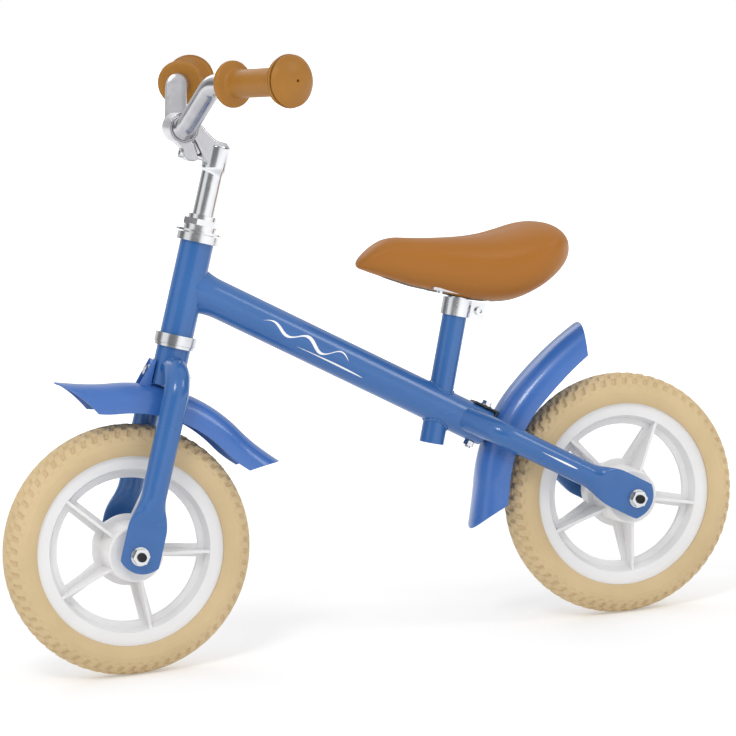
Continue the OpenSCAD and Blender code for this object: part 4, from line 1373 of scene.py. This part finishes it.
@dataclass
class Flourish:
    """A plain white painted stroke on a tube's side: a tapered wave that stands for the trim.

    All its sizes are in millimetres.
    """

    name: str
    tube: Axes
    radius: float
    start: float
    length: float
    height: float
    width: float
    waves: float
    drop: float = 0.0
    lift: float = 0.12
    sink: float = 0.2
    fade: float = 0.45
    pinch: float = 0.35
    tip: float = 0.004
    tip_curve: float = 0.6
    steps: int = 160
    cols: int = 9

    def build(self, palette: Palette, side: Side) -> None:
        """A ribbon on the tube's skin: its angle round the tube is a wave, its width swells mid-way.

        Args:
            palette: The finishes.
            side: The side of the tube it is on.
        """
        t = np.linspace(0, 1, self.steps)[:, None]
        v = np.linspace(-1, 1, self.cols)[None, :]
        phase = 2 * math.pi * self.waves * t
        wave = self.height * np.sin(phase) * (1 - self.fade * t)
        width = self.width * np.sin(math.pi * np.clip(t, self.tip, 1 - self.tip)) ** self.tip_curve
        up = wave + width * v * (1 - self.pinch + self.pinch * np.cos(phase))
        angle = (up + self.drop) / self.radius
        along = np.broadcast_to(self.start + self.length * t, up.shape)
        skins = [
            np.stack([along, side.value * r * np.cos(angle), r * np.sin(angle)], axis=-1)
            for r in (self.radius + self.lift, self.radius - self.sink)
        ]
        both = np.concatenate([skins[0], skins[1][:, ::-1]], axis=1)
        obj = loft(f"{self.name}_{side.word}", self.tube.place(both * MM), palette["flourish_white"])
        stand_in(obj, "frame", "flourish_white")


@dataclass
class WeldBead:
    """A fillet of painted weld where a branch tube meets a tube: a thin roll along their seam."""

    name: str
    line: np.ndarray
    thickness: float = 1.5
    ripple: float = 0.16
    pool_points: int = 7
    sides: int = 12

    def build(self, palette: Palette) -> None:
        """A looped roll along the seam, rippled like a run of weld pools.

        Args:
            palette: The finishes.
        """
        line = self.line
        k = np.arange(len(line))
        radius = self.thickness * (1 + self.ripple * np.sin(k * 2 * math.pi / self.pool_points)) * MM
        way = np.roll(line, -1, axis=0) - np.roll(line, 1, axis=0)
        way /= np.linalg.norm(way, axis=1, keepdims=True)
        up = line - line.mean(axis=0)
        up -= (up * way).sum(axis=1, keepdims=True) * way
        up /= np.linalg.norm(up, axis=1, keepdims=True)
        rings = round_rings(line, radius, up, np.cross(way, up), self.sides)
        stand_in(loft(self.name, rings, palette["frame_paint"], looped=True), "frame", "frame_paint")


def seam(
    branch: Axes, radius: tuple[float, float], run: Axes, run_radius: float, towards: int, swap: bool
) -> np.ndarray:
    """Where a branch tube's skin meets a run tube's skin, by sliding each line of the branch along itself.

    Args:
        branch: The branch tube's frame.
        radius: Its half width along Y and its other half width, in millimetres.
        run: The run tube's frame.
        run_radius: Its radius, in millimetres.
        towards: 1 or -1, which of the two crossings along the branch is the seam.
        swap: Whether the branch runs along its own X, and the run tube along its own Z.

    Returns:
        Points of the seam in the world, (n, 3), in metres.
    """
    q = circle_steps(SEAM_POINTS)
    zero = np.zeros_like(q)
    c, s = radius[0] * np.cos(q), radius[1] * np.sin(q)
    base = branch.place(np.stack([zero, c, s] if swap else [s, c, zero], axis=-1) * MM)
    unit = branch.place(np.array([1.0, 0, 0] if swap else [0, 0, 1.0])) - np.asarray(branch.origin)
    run_way = run.place(np.array([0, 0, 1.0] if swap else [1.0, 0, 0])) - np.asarray(run.origin)
    offset = base - np.asarray(run.origin)
    p = offset - (offset @ run_way)[:, None] * run_way
    d = unit - (unit @ run_way) * run_way
    a, b = d @ d, p @ d
    root = np.sqrt(np.maximum(b * b - a * ((p * p).sum(axis=1) - (run_radius * MM) ** 2), 0))
    return base + ((-b + towards * root) / a)[:, None] * unit


@dataclass
class Studio:
    """Pale floor, white surroundings, soft lamps and the camera."""

    eye: tuple[float, float, float] = (1.0207, 3.1336, 0.6656)
    azimuth: float = math.radians(18.02)
    elevation: float = math.radians(6.59)
    roll: float = math.radians(-3.62)
    lens: float = 158.5
    sensor: float = 36.0
    sight: float = 50.0
    lamp_aim: tuple[float, float, float] = (0, 0, 0.3)
    roof_from: float = 0.35
    roof_full: float = 0.75
    floor_half: float = 30.0
    floor_pale: float = 0.74
    floor_glow: tuple[float, float] = (0.27, 0.80)
    glow_from: float = 0.5
    glow_full: float = 3.0

    # Turn round the bike as a share of a circle, and how bright the wall is there
    WALLS = (
        (0.0, 0.22), (0.05, 0.70), (0.34, 0.75), (0.40, 0.22), (0.455, 0.22), (0.50, 1.10), (0.57, 1.10),
        (0.62, 0.26), (0.725, 0.26), (0.775, 1.15), (0.85, 1.15), (0.90, 0.22), (1.0, 0.22),
    )
    ROOF = (0.96, 0.96, 0.97)
    BACKDROP = (1, 1, 1)

    # Each lamp's name, place, power in watts and side
    LAMPS = (
        ("key", (1.3, 1.9, 2.3), 22.0, 0.7),
        ("side", (-2.2, 1.6, 1.9), 12.0, 0.9),
        ("back", (0.4, -2.4, 2.2), 10.0, 1.4),
    )

    def camera(self) -> None:
        """The camera, from its place, its two angles and its roll."""
        az, el, roll = self.azimuth, self.elevation, self.roll
        back = np.array([math.sin(az) * math.cos(el), math.cos(az) * math.cos(el), math.sin(el)])
        right = np.cross(-back, [0, 0, 1.0])
        right /= np.linalg.norm(right)
        up = np.cross(right, -back)
        x = math.cos(roll) * right + math.sin(roll) * up
        y = -math.sin(roll) * right + math.cos(roll) * up
        data = bpy.data.cameras.new("camera")
        data.lens, data.sensor_width, data.clip_end = self.lens, self.sensor, self.sight
        obj = bpy.data.objects.new("camera", data)
        turn = np.column_stack([x, y, back])
        obj.matrix_world = Matrix.Translation(self.eye) @ Matrix(turn.tolist()).to_4x4()
        bpy.context.scene.collection.objects.link(obj)
        bpy.context.scene.camera = obj

    def lamp(self, name: str, place: tuple[float, float, float], power: float, size: float) -> None:
        """A square lamp aimed at the middle of the bike.

        Args:
            name: The lamp's name.
            place: Where it hangs, in metres.
            power: Its power in watts.
            size: Its side in metres.
        """
        data = bpy.data.lights.new(name, "AREA")
        data.energy, data.size = power, size
        obj = bpy.data.objects.new(name, data)
        back = np.array(place) - self.lamp_aim
        back /= np.linalg.norm(back)
        right = np.cross([0, 0, 1.0], back)
        right /= np.linalg.norm(right)
        turn = np.column_stack([right, np.cross(back, right), back])
        obj.matrix_world = Matrix.Translation(place) @ Matrix(turn.tolist()).to_4x4()
        bpy.context.scene.collection.objects.link(obj)

    def surroundings(self) -> None:
        """A white backdrop to look at, and dark and bright walls for plated parts to reflect."""
        world = bpy.data.worlds.new("studio")
        world.use_nodes = True
        nodes, links = world.node_tree.nodes, world.node_tree.links
        place, split = nodes.new("ShaderNodeTexCoord"), nodes.new("ShaderNodeSeparateXYZ")
        links.new(place.outputs["Generated"], split.inputs["Vector"])
        round_it = nodes.new("ShaderNodeMath")
        round_it.operation = "ARCTAN2"
        links.new(split.outputs["Y"], round_it.inputs[0])
        links.new(split.outputs["X"], round_it.inputs[1])
        share = add_node(nodes, "ShaderNodeMapRange", From_Min=-math.pi, From_Max=math.pi)
        links.new(round_it.outputs["Value"], share.inputs["Value"])
        walls = nodes.new("ShaderNodeValToRGB")
        links.new(share.outputs["Result"], walls.inputs["Fac"])
        ramp = walls.color_ramp
        ramp.interpolation = "EASE"
        while len(ramp.elements) < len(self.WALLS):
            ramp.elements.new(0.5)
        for element, (at, light) in zip(ramp.elements, self.WALLS):
            element.position = at
            element.color = (light, light, light, 1)
        height = add_node(nodes, "ShaderNodeMapRange", From_Min=self.roof_from, From_Max=self.roof_full)
        links.new(split.outputs["Z"], height.inputs["Value"])
        roof = colour_mix(nodes, self.ROOF)
        links.new(height.outputs["Result"], roof.inputs["Factor"])
        links.new(walls.outputs["Color"], roof.inputs["A"])
        seen = nodes.new("ShaderNodeLightPath")
        pick = colour_mix(nodes, self.BACKDROP)
        links.new(seen.outputs["Is Camera Ray"], pick.inputs["Factor"])
        links.new(roof.outputs["Result"], pick.inputs["A"])
        links.new(pick.outputs["Result"], nodes["Background"].inputs["Color"])
        bpy.context.scene.world = world

    def floor(self) -> None:
        """A plain pale floor, which glows a little so that it meets the backdrop unseen."""
        shader = Shader("studio_floor")
        pale = self.floor_pale
        shader.set(Base_Color=(pale, pale, pale, 1), Roughness=0.9, Specular_IOR_Level=0.0)
        place, far = shader.node("ShaderNodeTexCoord"), shader.node("ShaderNodeVectorMath")
        far.operation = "LENGTH"
        shader.link(place.outputs["Object"], far.inputs["Vector"])
        share = shader.node("ShaderNodeMapRange", From_Min=self.glow_from, From_Max=self.glow_full)
        share.interpolation_type = "SMOOTHSTEP"
        shader.link(far.outputs["Value"], share.inputs["Value"])
        near, away = ((glow, glow, glow) for glow in self.floor_glow)
        shader.link(shader.between(share.outputs["Result"], near, away), shader.body.inputs["Emission Color"])
        shader.set(Emission_Strength=1.0)
        mesh = bpy.data.meshes.new("studio_floor")
        reach = self.floor_half
        corners = [(-reach, -reach, 0), (reach, -reach, 0), (reach, reach, 0), (-reach, reach, 0)]
        mesh.from_pydata(corners, [], [(0, 1, 2, 3)])
        mesh.materials.append(shader.material)
        floor = bpy.data.objects.new("studio_floor", mesh)
        bpy.context.scene.collection.objects.link(floor)

    def build(self) -> None:
        """Floor, surroundings, lamps and camera."""
        bpy.context.scene.view_settings.view_transform = "Standard"
        self.surroundings()
        self.floor()
        for name, place, power, size in self.LAMPS:
            self.lamp(name, place, power, size)
        self.camera()


def dress_nodes(palette: Palette) -> None:
    """Gives every CAD node that still shows the finish of its slot.

    Args:
        palette: The finishes.
    """
    for entry in frame["record"]["subparts"]:
        obj = frame["nodes"][entry["node"]]
        obj.data.materials.clear()
        obj.data.materials.append(palette[entry["material_slot"]])
        log.info("dressed %s in %s", entry["node"], entry["material_slot"])


def main() -> None:
    """Builds the studio and the bike's pieces in order."""
    logging.basicConfig(level=logging.INFO, format="%(message)s")
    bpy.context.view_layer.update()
    palette = Palette()
    Studio().build()
    dress_nodes(palette)
    for wheel in Wheel:
        Tyre(wheel).build(palette)
    for side in Side:
        SquashedTube(side).build_stay(palette)
        SquashedTube(side).build_leg(palette)
    front_ends = FenderEnd(71.4, 90, 16.5, 10), FenderEnd(156.8, 140, 15, 4.6)
    rear_ends = FenderEnd(-8.4, 8.0, 9.5, 7.4), FenderEnd(76.95, 44.95, 15.5, 3.5)
    Fender(Wheel.FRONT, (4, 1), *front_ends).build(palette)
    Fender(Wheel.REAR, (-7, 6), *rear_ends).build(palette)
    FenderTab().build(palette)
    MainTube().build(palette)
    Stem().build(palette)
    bar = Handlebar()
    bar.build(palette)
    for side in Side:
        Grip(side, bar).build(palette)
    Saddle().build(palette)
    for side in Side:
        stay = Axes((REAR_HUB[0], REAR_HUB[1] + side.value * STAY_Y * MM, REAR_HUB[2]), MAIN_ANGLE)
        for stroke in (
            Flourish("main_flourish", MAIN_TUBE, MAIN_TUBE_R, 340, 100, 5.8, 2.3, 2.5),
            Flourish("main_underline", MAIN_TUBE, MAIN_TUBE_R, 318, 78, 0.9, 1.3, 0.5, drop=-9.5),
            Flourish("stay_stripe", stay, STAY_R, 78, 44, 0.0, 1.3, 0.5),
        ):
            stroke.build(palette, side)
    for name, towards in (("seat_weld_top", 1), ("seat_weld_under", -1)):
        line = seam(SEAT, (SEAT_TUBE_R, SEAT_TUBE_R), MAIN_TUBE, MAIN_TUBE_R, towards, False)
        WeldBead(name, line).build(palette)


if __name__ == "__main__":
    main()
